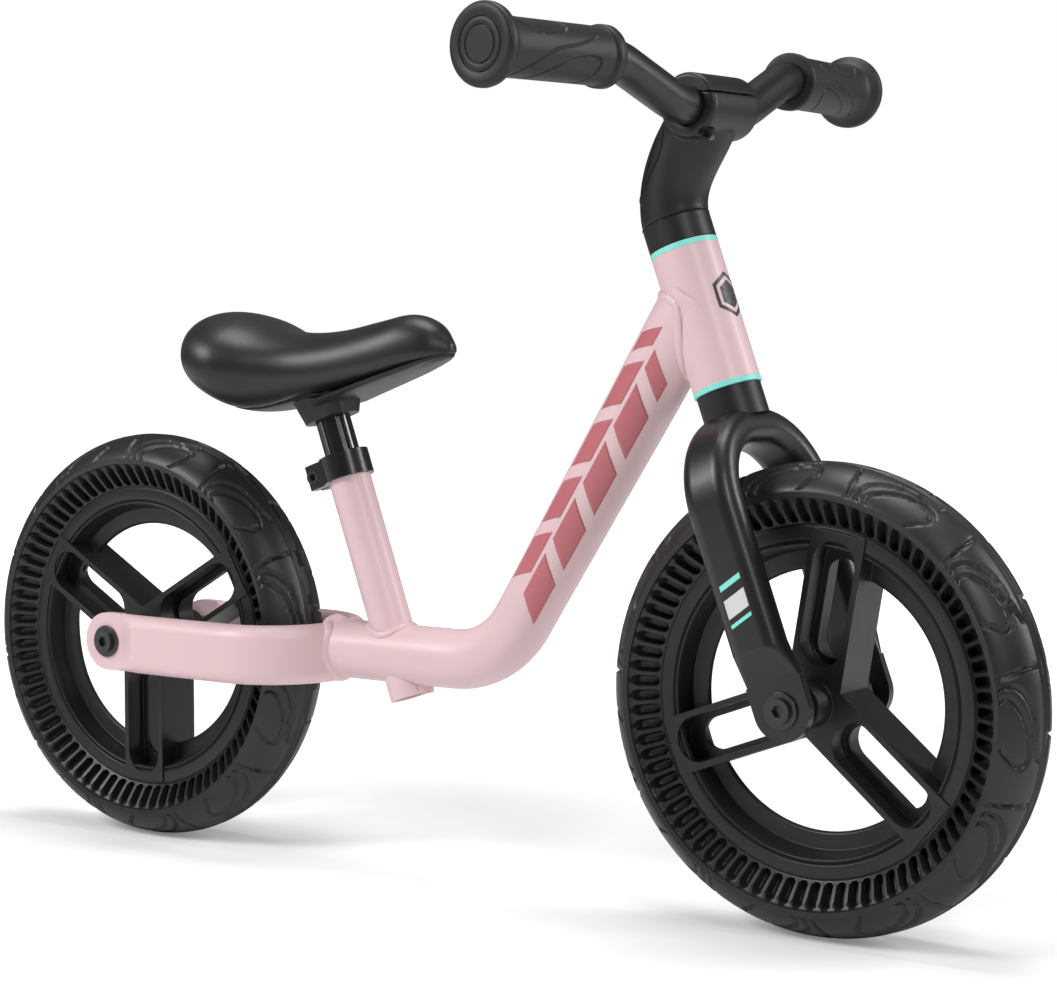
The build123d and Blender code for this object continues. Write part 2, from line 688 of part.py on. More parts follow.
with BuildPart() as stem_body:
    add(stem_form.part)
    add(bar_form, mode=Mode.SUBTRACT)
    add(steerer_cut.part, mode=Mode.SUBTRACT)
    with BuildSketch(side_plane(BAR_CLAMP[0], 0, CAP_SPLIT_Z + STEM_REACH)):
        Rectangle(2 * STEM_REACH, 2 * STEM_REACH)
    extrude(amount=STEM_REACH, both=True, mode=Mode.SUBTRACT)
    with BuildSketch(side_plane(SCREW_X, SCREW_BORE_Y[0], SCREW_Z)):
        Circle(SCREW_BORE_R)
    extrude(amount=SCREW_BORE_Y[0] - SCREW_BORE_Y[1], mode=Mode.SUBTRACT)
stem_block = stem_body.part.solids().sort_by(SortBy.VOLUME)[-1]

# The rear cover is the back of the neck, parted from the body along a curved seam.
with BuildPart() as cover_zone:
    with BuildSketch(Plane.XZ):
        with BuildLine():
            ThreePointArc(*COVER_SEAM)
            Polyline(
                COVER_SEAM[-1],
                COVER_TOP,
                (COVER_BACK_X, COVER_TOP[1]),
                (COVER_BACK_X, COVER_SEAM[0][1]),
                COVER_SEAM[0],
            )
        make_face()
    extrude(amount=STEM_REACH, both=True)

with BuildPart() as stem_main:
    add(stem_block)
    add(cover_zone.part, mode=Mode.SUBTRACT)
stem_main_solid = stem_main.part.solids().sort_by(SortBy.VOLUME)[-1]
keep(Part() + stem_main_solid, "stem_body")

with BuildPart() as stem_rear_cover:
    add(stem_block)
    add(cover_zone.part, mode=Mode.INTERSECT)
cover_solid = stem_rear_cover.part.solids().sort_by(SortBy.VOLUME)[-1]
keep(Part() + cover_solid, "stem_rear_cover")

with BuildPart() as stem_cap:
    add(stem_form.part)
    add(bar_form, mode=Mode.SUBTRACT)
    with BuildSketch(side_plane(BAR_CLAMP[0], 0, CAP_SPLIT_Z + CAP_GAP + STEM_REACH)):
        Rectangle(2 * STEM_REACH, 2 * STEM_REACH)
    extrude(amount=STEM_REACH, both=True, mode=Mode.INTERSECT)
stem_cap_solid = stem_cap.part.solids().sort_by(SortBy.VOLUME)[-1]
keep(Part() + stem_cap_solid, "stem_cap")

with BuildPart() as stem_clamp_screw:
    screw_face, screw_back = SCREW_HEAD_Y
    socket_r, socket_depth = SCREW_SOCKET
    with BuildSketch(side_plane(SCREW_X, screw_face, SCREW_Z)):
        Circle(SCREW_BORE_R - FIT_GAP)
    extrude(amount=screw_face - screw_back)
    with BuildSketch(side_plane(SCREW_X, screw_face, SCREW_Z)):
        RegularPolygon(socket_r, 6)
    extrude(amount=-socket_depth, mode=Mode.SUBTRACT)
keep(stem_clamp_screw.part, "stem_clamp_screw")

GRIP_EDGE = 1.5

for name, side in (("grip_left", 1), ("grip_right", -1)):
    with BuildPart() as grip:
        with BuildSketch(grip_plane(side)):
            with BuildLine():
                Polyline(
                    (BAR_R, GRIP_LENGTH),
                    (GRIP_COLLAR_R, GRIP_LENGTH),
                    (GRIP_COLLAR_R, GRIP_LENGTH - GRIP_COLLAR_W),
                    (GRIP_R, GRIP_LENGTH - GRIP_COLLAR_W - 2),
                    (GRIP_R, GRIP_FLARE),
                    (GRIP_END_R, GRIP_END_T),
                    (GRIP_END_R, 0),
                    (0, 0),
                    (0, GRIP_CAP_T),
                    (BAR_R, GRIP_CAP_T),
                    close=True,
                )
            make_face()
        revolve(axis=Axis(on_grip(side, 0), grip_plane(side).y_dir))
        fillet(grip.edges().filter_by(GeomType.CIRCLE).group_by(SortBy.RADIUS)[-1], GRIP_EDGE)
    keep(grip.part, name)


# ---------------------------------------------------------------- wheels
def wheel_side_plane(x, y=0):
    return side_plane(x, y, AXLE_Z)


BED_HALF_W = 9.0            # hollow rim bed that the tyre's foot drops into
BED_FLOOR_HALF_W = 8.0
BED_DEPTH = 6.0
GUTTER_R = 80.0             # foot of the dished flank between lip and web
GUTTER_HALF_W = 2.5
WEB_HALF_W = 1.5
WEB_ROUND = 1.5
SPOKE_REACH = 92.0
SPOKE_SLOT = (20.0, 87.0)   # radii of a spoke's recess
SPOKE_WINDOW_INSET = 3.5    # ledge round the window through a spoke
SPOKE_WINDOW_END = 13.0
CROTCH_R = 9.0
HUB_BORE_R = AXLE_R + 2.2
BEARING_INSET = 1.0


def make_rim(x, first_spoke):
    """Moulded wheel: hoop with a central web, three slotted spokes and the hub."""
    slot_in, slot_out = SPOKE_SLOT
    slot_mid = (slot_in + slot_out) / 2
    slot_len = slot_out - slot_in
    slot_w = SPOKE_W - 2 * SPOKE_WALL
    window_w = slot_w - 2 * SPOKE_WINDOW_INSET
    with BuildPart() as rim:
        with BuildSketch(radial_plane(x)):
            with BuildLine():
                Polyline(
                    (RIM_R, -RIM_HALF_W),
                    (RIM_R, -BED_HALF_W),
                    (RIM_R - BED_DEPTH, -BED_FLOOR_HALF_W),
                    (RIM_R - BED_DEPTH, BED_FLOOR_HALF_W),
                    (RIM_R, BED_HALF_W),
                    (RIM_R, RIM_HALF_W),
                    (RIM_LIP_R, RIM_HALF_W),
                    (GUTTER_R, GUTTER_HALF_W),
                    (RIM_WEB_R + WEB_ROUND, WEB_HALF_W),
                    (RIM_WEB_R, 0),
                    (RIM_WEB_R + WEB_ROUND, -WEB_HALF_W),
                    (GUTTER_R, -GUTTER_HALF_W),
                    (RIM_LIP_R, -RIM_HALF_W),
                    close=True,
                )
            make_face()
        revolve(axis=axle_axis(x))
        with BuildSketch(wheel_side_plane(x)) as spokes:
            with PolarLocations(SPOKE_REACH / 2, 3, start_angle=first_spoke):
                Rectangle(SPOKE_REACH, SPOKE_W)
            middle = Vector(x, 0, AXLE_Z)
            crotches = spokes.vertices().filter_by(lambda v: (Vector(v) - middle).length < SPOKE_W)
            fillet(crotches, CROTCH_R)
        extrude(amount=SPOKE_FACE, both=True)
        with BuildSketch(wheel_side_plane(x)):
            Circle(HUB_R)
        extrude(amount=HUB_HALF_W, both=True)
        for recess_side in (-1, 1):
            with BuildSketch(wheel_side_plane(x, recess_side * SPOKE_FACE)):
                with PolarLocations(slot_mid, 3, start_angle=first_spoke):
                    SlotOverall(slot_len, slot_w)
            extrude(amount=recess_side * (SPOKE_FACE - WEB_HALF_W), mode=Mode.SUBTRACT)
        with BuildSketch(wheel_side_plane(x)):
            with PolarLocations(slot_mid - SPOKE_WINDOW_INSET, 3, start_angle=first_spoke):
                SlotOverall(slot_len - SPOKE_WINDOW_END, window_w)
        extrude(amount=SPOKE_FACE, both=True, mode=Mode.SUBTRACT)
        with BuildSketch(wheel_side_plane(x)):
            Circle(RIM_R + SPOKE_REACH)
            Circle(RIM_R, mode=Mode.SUBTRACT)
        extrude(amount=HUB_HALF_W, both=True, mode=Mode.SUBTRACT)
        with BuildSketch(wheel_side_plane(x)):
            Circle(HUB_BORE_R)
        extrude(amount=HUB_HALF_W, both=True, mode=Mode.SUBTRACT)
        for seat_side in (-1, 1):
            with BuildSketch(wheel_side_plane(x, seat_side * HUB_HALF_W)):
                Circle(BEARING_R)
            extrude(amount=seat_side * (BEARING_W + BEARING_INSET), mode=Mode.SUBTRACT)
    return rim.part


TREAD_ANGLES = (22.5, 45.0, 67.5)
TREAD_POWER = 1.56          # fullness of the tread's round shoulder
FLANK_TOP_R = TYRE_RING_R - 3.6
# Hollow under the tread, from the bead up: radius and half width.
TYRE_HOLLOW = [(RIM_R, 9.5), (103.35, 9.5), (110.35, 13.0), (114.35, 8.0)]


def make_tyre(x):
    """Airless tyre, hollow under the tread, seated on the rim's bed."""
    shoulder = []
    for angle in TREAD_ANGLES:
        turn = math.radians(angle)
        radius = TYRE_RING_R + (WHEEL_R - TYRE_RING_R) * math.sin(turn) ** TREAD_POWER
        shoulder.append((radius, TYRE_HALF_W * math.cos(turn)))
    left = [(TYRE_RING_R, TYRE_HALF_W)] + shoulder
    right = [(radius, -y) for radius, y in left]
    hollow_right = [(radius, -y) for radius, y in reversed(TYRE_HOLLOW)]
    with BuildPart() as tyre:
        with BuildSketch(radial_plane(x)):
            with BuildLine():
                Spline(*right, (WHEEL_R, 0), *left[::-1], tangents=((0.3, -0.2), (-0.3, -0.2)))
                Polyline(
                    (TYRE_RING_R, TYRE_HALF_W),
                    (FLANK_TOP_R, TYRE_RING_HALF_W),
                    (RIM_R, TYRE_BEAD_HALF_W),
                    *TYRE_HOLLOW,
                    *hollow_right,
                    (RIM_R, -TYRE_BEAD_HALF_W),
                    (FLANK_TOP_R, -TYRE_RING_HALF_W),
                    (TYRE_RING_R, -TYRE_HALF_W),
                )
            make_face()
        revolve(axis=axle_axis(x))
    return tyre.part


BEARING_RACE = (1.2, 1.5)   # radial width of the outer and inner race
BEARING_SEAL_DEPTH = 0.4
AXLE_THREAD_LENGTH = 18.0
SPACER_WALL = 2.5
BOLT_FLANGE_R = 9.8
BOLT_FLANGE_T = 1.6
BOLT_HEAD_R = 6.6
BOLT_HEAD_H = 2.4
BOLT_EDGE = 0.5
BOLT_SOCKET_R = 3.4
BOLT_SOCKET_DEPTH = 2.6
BOLT_LENGTH = 17.0
INNER_FACE = DROPOUT_FACE - DROPOUT_T


def make_bearing(x, side):
    """Ball bearing in the hub's end, its outer face just inside the hub."""
    outer_face = HUB_HALF_W - BEARING_INSET
    outer_race, inner_race = BEARING_RACE
    with BuildPart() as bearing:
        with BuildSketch(wheel_side_plane(x, side * outer_face)):
            Circle(BEARING_R)
            Circle(AXLE_R + RUN_GAP, mode=Mode.SUBTRACT)
        extrude(amount=side * BEARING_W)
        with BuildSketch(wheel_side_plane(x, side * outer_face)):
            Circle(BEARING_R - outer_race)
            Circle(AXLE_R + inner_race, mode=Mode.SUBTRACT)
        extrude(amount=side * BEARING_SEAL_DEPTH, mode=Mode.SUBTRACT)
    return bearing.part


def make_axle(x):
    """Axle rod between the dropouts, tapped at both ends."""
    with BuildPart() as axle:
        with BuildSketch(wheel_side_plane(x)):
            Circle(AXLE_R)
        extrude(amount=INNER_FACE, both=True)
        for end in (-1, 1):
            with BuildSketch(wheel_side_plane(x, end * INNER_FACE)):
                Circle(BOLT_R)
            extrude(amount=end * AXLE_THREAD_LENGTH, mode=Mode.SUBTRACT)
    return axle.part


def make_spacer(x, side):
    """Sleeve between a bearing and the dropout."""
    length = INNER_FACE - (HUB_HALF_W - BEARING_INSET) - FIT_GAP
    with BuildPart() as spacer:
        with BuildSketch(wheel_side_plane(x, side * INNER_FACE)):
            Circle(AXLE_R + SPACER_WALL)
            Circle(AXLE_R, mode=Mode.SUBTRACT)
        extrude(amount=side * length)
    return spacer.part


def make_axle_bolt(x, side):
    """Flanged socket-head bolt with its shank in the axle."""
    with BuildPart() as bolt:
        with BuildSketch(wheel_side_plane(x, side * DROPOUT_FACE)):
            Circle(BOLT_FLANGE_R)
        extrude(amount=-side * BOLT_FLANGE_T)
        with BuildSketch(wheel_side_plane(x, side * (DROPOUT_FACE + BOLT_FLANGE_T))):
            Circle(BOLT_HEAD_R)
        extrude(amount=-side * BOLT_HEAD_H)
        fillet(bolt.edges().filter_by(GeomType.CIRCLE).group_by(SortBy.RADIUS)[-1][-1:], BOLT_EDGE)
        with BuildSketch(wheel_side_plane(x, side * DROPOUT_FACE)):
            Circle(BOLT_R)
        extrude(amount=side * BOLT_LENGTH)
        with BuildSketch(wheel_side_plane(x, side * (DROPOUT_FACE + BOLT_FLANGE_T + BOLT_HEAD_H))):
            RegularPolygon(BOLT_SOCKET_R, 6)
        extrude(amount=side * BOLT_SOCKET_DEPTH, mode=Mode.SUBTRACT)
    return bolt.part


WHEELS = (("front", FRONT_X, 80.4), ("rear", REAR_X, 30.0))
SIDES = (("left", 1), ("right", -1))

for end_name, wheel_x, spoke_angle in WHEELS:
    keep(make_rim(wheel_x, spoke_angle), f"{end_name}_rim")
    keep(make_tyre(wheel_x), f"{end_name}_tyre")
    keep(make_axle(wheel_x), f"{end_name}_axle")
    for side_name, side_sign in SIDES:
        keep(make_bearing(wheel_x, side_sign), f"{end_name}_bearing_{side_name}")
        keep(make_spacer(wheel_x, side_sign), f"{end_name}_spacer_{side_name}")
        keep(make_axle_bolt(wheel_x, side_sign), f"{end_name}_axle_bolt_{side_name}")
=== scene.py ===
"""Balance bike: looks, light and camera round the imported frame.

+X is forward and +Y the rider's left. Shapes are measured in millimetres; the stage, the camera, the lights,
noise scales and bump depths are in metres.
"""

import json
import math

import bmesh
import bpy
import numpy as np
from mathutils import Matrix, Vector
from mathutils.bvhtree import BVHTree


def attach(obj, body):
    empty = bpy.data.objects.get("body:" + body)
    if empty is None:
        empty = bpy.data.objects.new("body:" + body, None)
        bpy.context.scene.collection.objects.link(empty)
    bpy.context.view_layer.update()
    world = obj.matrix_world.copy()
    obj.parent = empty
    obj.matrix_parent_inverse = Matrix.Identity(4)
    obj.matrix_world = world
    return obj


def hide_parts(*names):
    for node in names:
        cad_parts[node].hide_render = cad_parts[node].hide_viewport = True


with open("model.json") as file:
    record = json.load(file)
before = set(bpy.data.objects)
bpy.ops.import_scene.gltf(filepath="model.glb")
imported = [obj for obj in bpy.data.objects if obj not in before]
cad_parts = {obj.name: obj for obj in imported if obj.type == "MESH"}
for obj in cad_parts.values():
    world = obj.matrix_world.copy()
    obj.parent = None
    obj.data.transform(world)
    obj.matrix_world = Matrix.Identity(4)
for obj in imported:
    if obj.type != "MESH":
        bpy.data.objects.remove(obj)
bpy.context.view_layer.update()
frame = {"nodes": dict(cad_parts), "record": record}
NODES = frame["nodes"]
MM = 0.001

# ---------------------------------------------------------------- measures shared with the CAD
WHEEL_R = 127.0
AXLE_X = {"front": 240.0, "rear": -240.0}
HEAD_LEAN = math.radians(20.4)
SEAT_LEAN = math.radians(20.0)
DOWN_RISE = math.radians(57.5)
LOW_TUBE_Z = 129.5
LOW_TUBE_R = 17.5
DOWN_TUBE_TOP_R = 20.0
HEAD_TUBE_R = 18.8
SEAT_TUBE_R = 12.7
SEAT_FOOT = np.array([-46.0, 0.0, 129.5])
BEND = np.array([27.3, 0.0, 129.5])
GRIP_END = np.array([151.0, 187.4, 461.6])
BAR_SWEEP = math.radians(6.2)
STEER_UP = np.array([-math.sin(HEAD_LEAN), 0.0, math.cos(HEAD_LEAN)])
STEER_FORWARD = np.array([math.cos(HEAD_LEAN), 0.0, math.sin(HEAD_LEAN)])
SEAT_UP = np.array([-math.sin(SEAT_LEAN), 0.0, math.cos(SEAT_LEAN)])
SEAT_FORWARD = np.array([math.cos(SEAT_LEAN), 0.0, math.sin(SEAT_LEAN)])
DOWN_DIR = np.array([math.cos(DOWN_RISE), 0.0, math.sin(DOWN_RISE)])
DOWN_SIDE = np.array([-math.sin(DOWN_RISE), 0.0, math.cos(DOWN_RISE)])
ACROSS = np.array([0.0, 1.0, 0.0])
FRONT_AXLE = np.array([240.0, 0.0, 127.0])


# ---------------------------------------------------------------- mesh helpers
def smoothstep(x):
    x = np.clip(x, 0.0, 1.0)
    return x * x * (3 - 2 * x)


def new_object(name, verts, faces, sharp=40.0):
    """Mesh object from points in millimetres, smooth but for edges sharper than an angle in degrees."""
    mesh = bpy.data.meshes.new(name)
    mesh.from_pydata([tuple(v) for v in np.asarray(verts) * MM], [], faces)
    mesh.validate()
    bm = bmesh.new()
    bm.from_mesh(mesh)
    bmesh.ops.recalc_face_normals(bm, faces=bm.faces)
    bm.to_mesh(mesh)
    bm.free()
    mesh.shade_smooth()
    mesh.set_sharp_from_angle(angle=math.radians(sharp))
    obj = bpy.data.objects.new(name, mesh)
    bpy.context.scene.collection.objects.link(obj)
    return obj


def grid_object(name, points, close_rows=False, caps=False, sharp=40.0):
    """Surface through a grid of points [row, column, xyz] whose columns close into rings."""
    rows, cols = points.shape[:2]
    last_row = rows if close_rows else rows - 1
    faces = []
    for i in range(last_row):
        a, b = i * cols, ((i + 1) % rows) * cols
        for j in range(cols):
            k = (j + 1) % cols
            faces.append((a + j, a + k, b + k, b + j))
    if caps:
        faces.append(tuple(range(cols)))
        faces.append(tuple(range((rows - 1) * cols, rows * cols)))
    return new_object(name, points.reshape(-1, 3), faces, sharp)


def smooth_curve(points, count):
    """Catmull-Rom curve through points of any dimension."""
    p = np.asarray(points, float)
    p = np.vstack([2 * p[0] - p[1], p, 2 * p[-1] - p[-2]])
    out = []
    for i in range(1, len(p) - 2):
        for t in np.linspace(0, 1, count, endpoint=False):
            out.append(0.5 * (2 * p[i] + (p[i + 1] - p[i - 1]) * t
                              + (2 * p[i - 1] - 5 * p[i] + 4 * p[i + 1] - p[i + 2]) * t * t
                              + (3 * p[i] - p[i - 1] - 3 * p[i + 1] + p[i + 2]) * t ** 3))
    out.append(p[-2])
    return np.array(out)


def distance_to_lines(u, v, lines):
    """Distance of every (u, v) to the nearest of several polylines."""
    best = np.full(u.shape, 1e9)
    for line in lines:
        for (ax, ay), (bx, by) in zip(line[:-1], line[1:]):
            dx, dy = bx - ax, by - ay
            t = np.clip(((u - ax) * dx + (v - ay) * dy) / max(dx * dx + dy * dy, 1e-9), 0, 1)
            best = np.minimum(best, np.hypot(u - ax - t * dx, v - ay - t * dy))
    return best


def own(obj, body, slot, *replaced, look=None):
    """Attaches a new piece to its body, hides the CAD nodes it stands in for, and gives it its slot's
    material unless another is given.
    """
    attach(obj, body)
    if replaced:
        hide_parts(*replaced)
    obj.data.materials.append(look or MATERIALS[slot])
    return obj


# ---------------------------------------------------------------- materials
class Shader:
    """Principled material whose colour, roughness and bump come from noise in object coordinates."""

    def __init__(self, name, rough, **sockets):
        self.material = bpy.data.materials.new(name)
        self.material.use_nodes = True
        self.tree = self.material.node_tree
        self.bsdf = self.tree.nodes["Principled BSDF"]
        self.bsdf.inputs["Roughness"].default_value = rough
        for socket, value in sockets.items():
            self.bsdf.inputs[socket.replace("_", " ")].default_value = value
        self.coords = self.tree.nodes.new("ShaderNodeTexCoord").outputs["Object"]
        self.height = None

    def link(self, a, b):
        self.tree.links.new(a, b)

    def noise(self, scale, detail=3.0, stretch=None):
        node = self.tree.nodes.new("ShaderNodeTexNoise")
        node.inputs["Scale"].default_value = scale
        node.inputs["Detail"].default_value = detail
        if stretch is None:
            self.link(self.coords, node.inputs["Vector"])
        else:
            mapping = self.tree.nodes.new("ShaderNodeMapping")
            mapping.inputs["Scale"].default_value = stretch
            self.link(self.coords, mapping.inputs["Vector"])
            self.link(mapping.outputs["Vector"], node.inputs["Vector"])
        return node.outputs["Fac"]

    def cells(self, scale):
        node = self.tree.nodes.new("ShaderNodeTexVoronoi")
        node.feature = "DISTANCE_TO_EDGE"
        node.inputs["Scale"].default_value = scale
        self.link(self.coords, node.inputs["Vector"])
        return node.outputs["Distance"]

    def ramp(self, fac, stops):
        node = self.tree.nodes.new("ShaderNodeValToRGB")
        elements = node.color_ramp.elements
        while len(elements) < len(stops):
            elements.new(0.5)
        for element, (place, color) in zip(elements, stops):
            element.position = place
            element.color = (*color, 1.0)
        self.link(fac, node.inputs["Fac"])
        return node.outputs["Color"]

    def color(self, fac, dark, light, low=0.35, high=0.65):
        self.link(self.ramp(fac, ((low, dark), (high, light))), self.bsdf.inputs["Base Color"])

    def rough(self, fac, low, high):
        node = self.tree.nodes.new("ShaderNodeMapRange")
        node.inputs["To Min"].default_value = low
        node.inputs["To Max"].default_value = high
        self.link(fac, node.inputs["Value"])
        self.link(node.outputs["Result"], self.bsdf.inputs["Roughness"])

    def bump(self, fac, distance, strength=1.0):
        """Adds one more layer of bump, its height in metres."""
        node = self.tree.nodes.new("ShaderNodeBump")
        node.inputs["Distance"].default_value = distance
        node.inputs["Strength"].default_value = strength
        self.link(fac, node.inputs["Height"])
        if self.height is not None:
            self.link(self.height, node.inputs["Normal"])
        self.height = node.outputs["Normal"]
        self.link(self.height, self.bsdf.inputs["Normal"])


def paint(name, dark, light, rough, coat=0.1):
    """Sprayed and clear-coated metal: faint orange peel and soft cloudiness."""
    s = Shader(name, rough, Coat_Weight=coat, Coat_Roughness=0.18)
    s.color(s.noise(9.0, 2.0), dark, light)
    s.rough(s.noise(40.0, 4.0), rough - 0.05, rough + 0.06)
    s.bump(s.noise(420.0, 1.0), 0.00005, 0.35)
    return s.material


def moulded(name, dark, light, rough, grain=1400.0, depth=0.00006):
    """Moulded plastic or rubber with a fine spark-eroded grain."""
    s = Shader(name, rough, Specular_IOR_Level=0.42)
    s.color(s.noise(14.0, 5.0), dark, light)
    s.rough(s.noise(60.0, 5.0), rough - 0.07, rough + 0.07)
    s.bump(s.noise(grain, 2.0), depth, 0.5)
    return s.material


def skin():
    """Moulded vinyl with a fine pebbled leather grain."""
    s = Shader("saddle_skin", 0.42, Specular_IOR_Level=0.5, Sheen_Weight=0.06, Sheen_Roughness=0.4)
    s.color(s.noise(20.0, 4.0), (0.008, 0.008, 0.0085), (0.014, 0.014, 0.0145))
    s.rough(s.noise(35.0, 4.0), 0.34, 0.46)
    s.bump(s.ramp(s.cells(900.0), ((0.0, (0, 0, 0)), (0.22, (1, 1, 1)))), 0.00006, 0.3)
    s.bump(s.noise(260.0, 3.0), 0.00008, 0.3)
    return s.material


def tyre_rubber():
    """Satin moulded rubber with a fine grain and slightly uneven shine."""
    s = Shader("tyre_rubber", 0.42, Specular_IOR_Level=0.5)
    s.color(s.noise(16.0, 6.0), (0.009, 0.009, 0.0095), (0.017, 0.017, 0.0175))
    s.rough(s.noise(80.0, 5.0), 0.36, 0.48)
    s.bump(s.noise(900.0, 2.0), 0.00008, 0.4)
    return s.material


def steel():
    """Brushed steel of the bearings, its grain stretched along Y."""
    s = Shader("bearing_steel", 0.32, Metallic=1.0)
    s.color(s.noise(120.0, 4.0, (1.0, 0.1, 1.0)), (0.42, 0.42, 0.43), (0.62, 0.62, 0.63))
    s.rough(s.noise(90.0, 4.0), 0.26, 0.4)
    return s.material


MATERIALS = {
    "frame_paint": paint("frame_paint", (0.765, 0.545, 0.57), (0.795, 0.57, 0.595), 0.42),
    "seal_mint": moulded("seal_mint", (0.25, 0.80, 0.72), (0.30, 0.86, 0.78), 0.4),
    "bearing_steel": steel(),
    "black_plastic": moulded("black_plastic", (0.009, 0.009, 0.0095), (0.014, 0.014, 0.0145), 0.42),
    "black_coated_metal": paint("black_coated_metal", (0.006, 0.006, 0.0065), (0.010, 0.010, 0.0105),
                                0.28, 0.15),
    "fork_paint": paint("fork_paint", (0.007, 0.007, 0.0075), (0.012, 0.012, 0.0125), 0.36, 0.1),
    "post_gloss": paint("post_gloss", (0.008, 0.008, 0.009), (0.014, 0.014, 0.015), 0.16, 0.6),
    "saddle_skin": skin(),
    "grip_rubber": moulded("grip_rubber", (0.010, 0.010, 0.0105), (0.016, 0.016, 0.0165),
                           0.5, 900.0, 0.00008),
    "bolt_black": paint("bolt_black", (0.012, 0.012, 0.013), (0.024, 0.024, 0.025), 0.3, 0.2),
    "rim_nylon": moulded("rim_nylon", (0.010, 0.010, 0.0105), (0.016, 0.016, 0.0165), 0.4),
    "tyre_rubber": tyre_rubber(),
}
FILM_GRAIN, FILM_DEPTH = 500.0, 0.00002
DECALS_AND_PAINTED_SHADOW = {
    name: moulded(name, dark, light, rough, FILM_GRAIN, FILM_DEPTH) for name, dark, light, rough in (
        # seam_shadow is not a print: a near-black painted shadow laid in gaps and grooves where shade falls
        ("seam_shadow", (0.001, 0.001, 0.001), (0.002, 0.002, 0.002), 0.9),
        ("decal_rose", (0.50, 0.145, 0.165), (0.55, 0.165, 0.185), 0.4),
        ("decal_charcoal", (0.05, 0.05, 0.052), (0.08, 0.08, 0.083), 0.35),
        ("decal_mint", (0.25, 0.80, 0.72), (0.30, 0.86, 0.78), 0.4),
        ("decal_white", (0.70, 0.70, 0.70), (0.76, 0.76, 0.76), 0.45))
}

SLOT = {s["node"]: s["material_slot"] for s in frame["record"]["subparts"]}
for name, node in NODES.items():
    node.data.materials.clear()
    node.data.materials.append(MATERIALS[SLOT[name]])


WELD_DISTANCE = 0.00001     # metres
BEVEL_FROM = math.radians(35.0)
BEVEL_SEGMENTS = 3


def soften(name, width):
    """Rounds a CAD node's edges without changing its mesh."""
    node = NODES[name]
    weld = node.modifiers.new("weld", "WELD")
    weld.merge_threshold = WELD_DISTANCE
    bevel = node.modifiers.new("bevel", "BEVEL")
    bevel.width = width * MM
    bevel.segments = BEVEL_SEGMENTS
    bevel.limit_method = "ANGLE"
    bevel.angle_limit = BEVEL_FROM
    bevel.use_clamp_overlap = True
    normals = node.modifiers.new("normals", "WEIGHTED_NORMAL")
    normals.keep_sharp = True


# ---------------------------------------------------------------- tyres
PITCHES = 80                # side pockets
MOTIFS = 11                 # tread motifs per side
COLUMNS_IN_PITCH = (0.0, 0.12, 0.215, 0.25, 0.28, 0.36, 0.5, 0.64, 0.72, 0.75, 0.785, 0.88)
TREAD_U_R = 120.0           # radius at which the tread pattern's lengths are true
TREAD_V = 31.0              # from the ring to the crown
DRAWN_PERIOD = 75.4         # length of the tread motif as drawn below
GROOVE_DEPTH, GROOVE_HALF, GROOVE_WALL = 1.8, 1.5, 0.95
BEAD_R, RING_R = 94.35, 108.8       # inner and outer edge of the pocketed flank
BEAD_Y, FLANK_RISE = 13.0, 10.0     # half width at the bead, and how much the flank widens outward
POCKET_INNER, POCKET_OUTER = 97.8, 105.7
POCKET_DEEP, POCKET_HALF, POCKET_WALL = 6.5, 2.75, 0.8
TREAD_FOOT_R, TREAD_HALF_W, TREAD_POWER = 112.5, 24.6, 1.56
FLANK_R = np.array([94.35, 95.1, 95.6, 96.2, 97.0, 98.4, 101.5, 104.8, 106.2, 107.0, 107.6, 108.1, 108.8])
TREAD_LINES = [
    [(0, 0.05), (-0.5, 0.3), (-2, 0.6), (-3, 0.9)],
    [(7, 0.05), (5, 0.25), (8, 0.5), (20, 0.70), (38, 0.76), (48, 0.84)],
    [(14, 0.05), (12, 0.2), (15, 0.4), (28, 0.6), (42, 0.66), (50, 0.6), (50, 0.45), (46, 0.3), (42, 0.08)],
    [(-3, 0.93), (20, 0.94), (40, 0.935), (56, 0.94), (72.4, 0.93)],
]


def tread_depth(u, v):
    """Groove depth of the tread at u, v in millimetres; the pattern repeats along u."""
    period = 2 * math.pi * TREAD_U_R / MOTIFS
    lines = []
    for line in TREAD_LINES:
        curve = smooth_curve([(a * period / DRAWN_PERIOD, b * TREAD_V) for a, b in line], 7)
        for shift in (-period, 0.0, period):
            lines.append(curve + np.array([shift, 0.0]))
    gap = distance_to_lines(u, v, lines)
    return GROOVE_DEPTH * smoothstep((GROOVE_HALF - gap) / GROOVE_WALL)


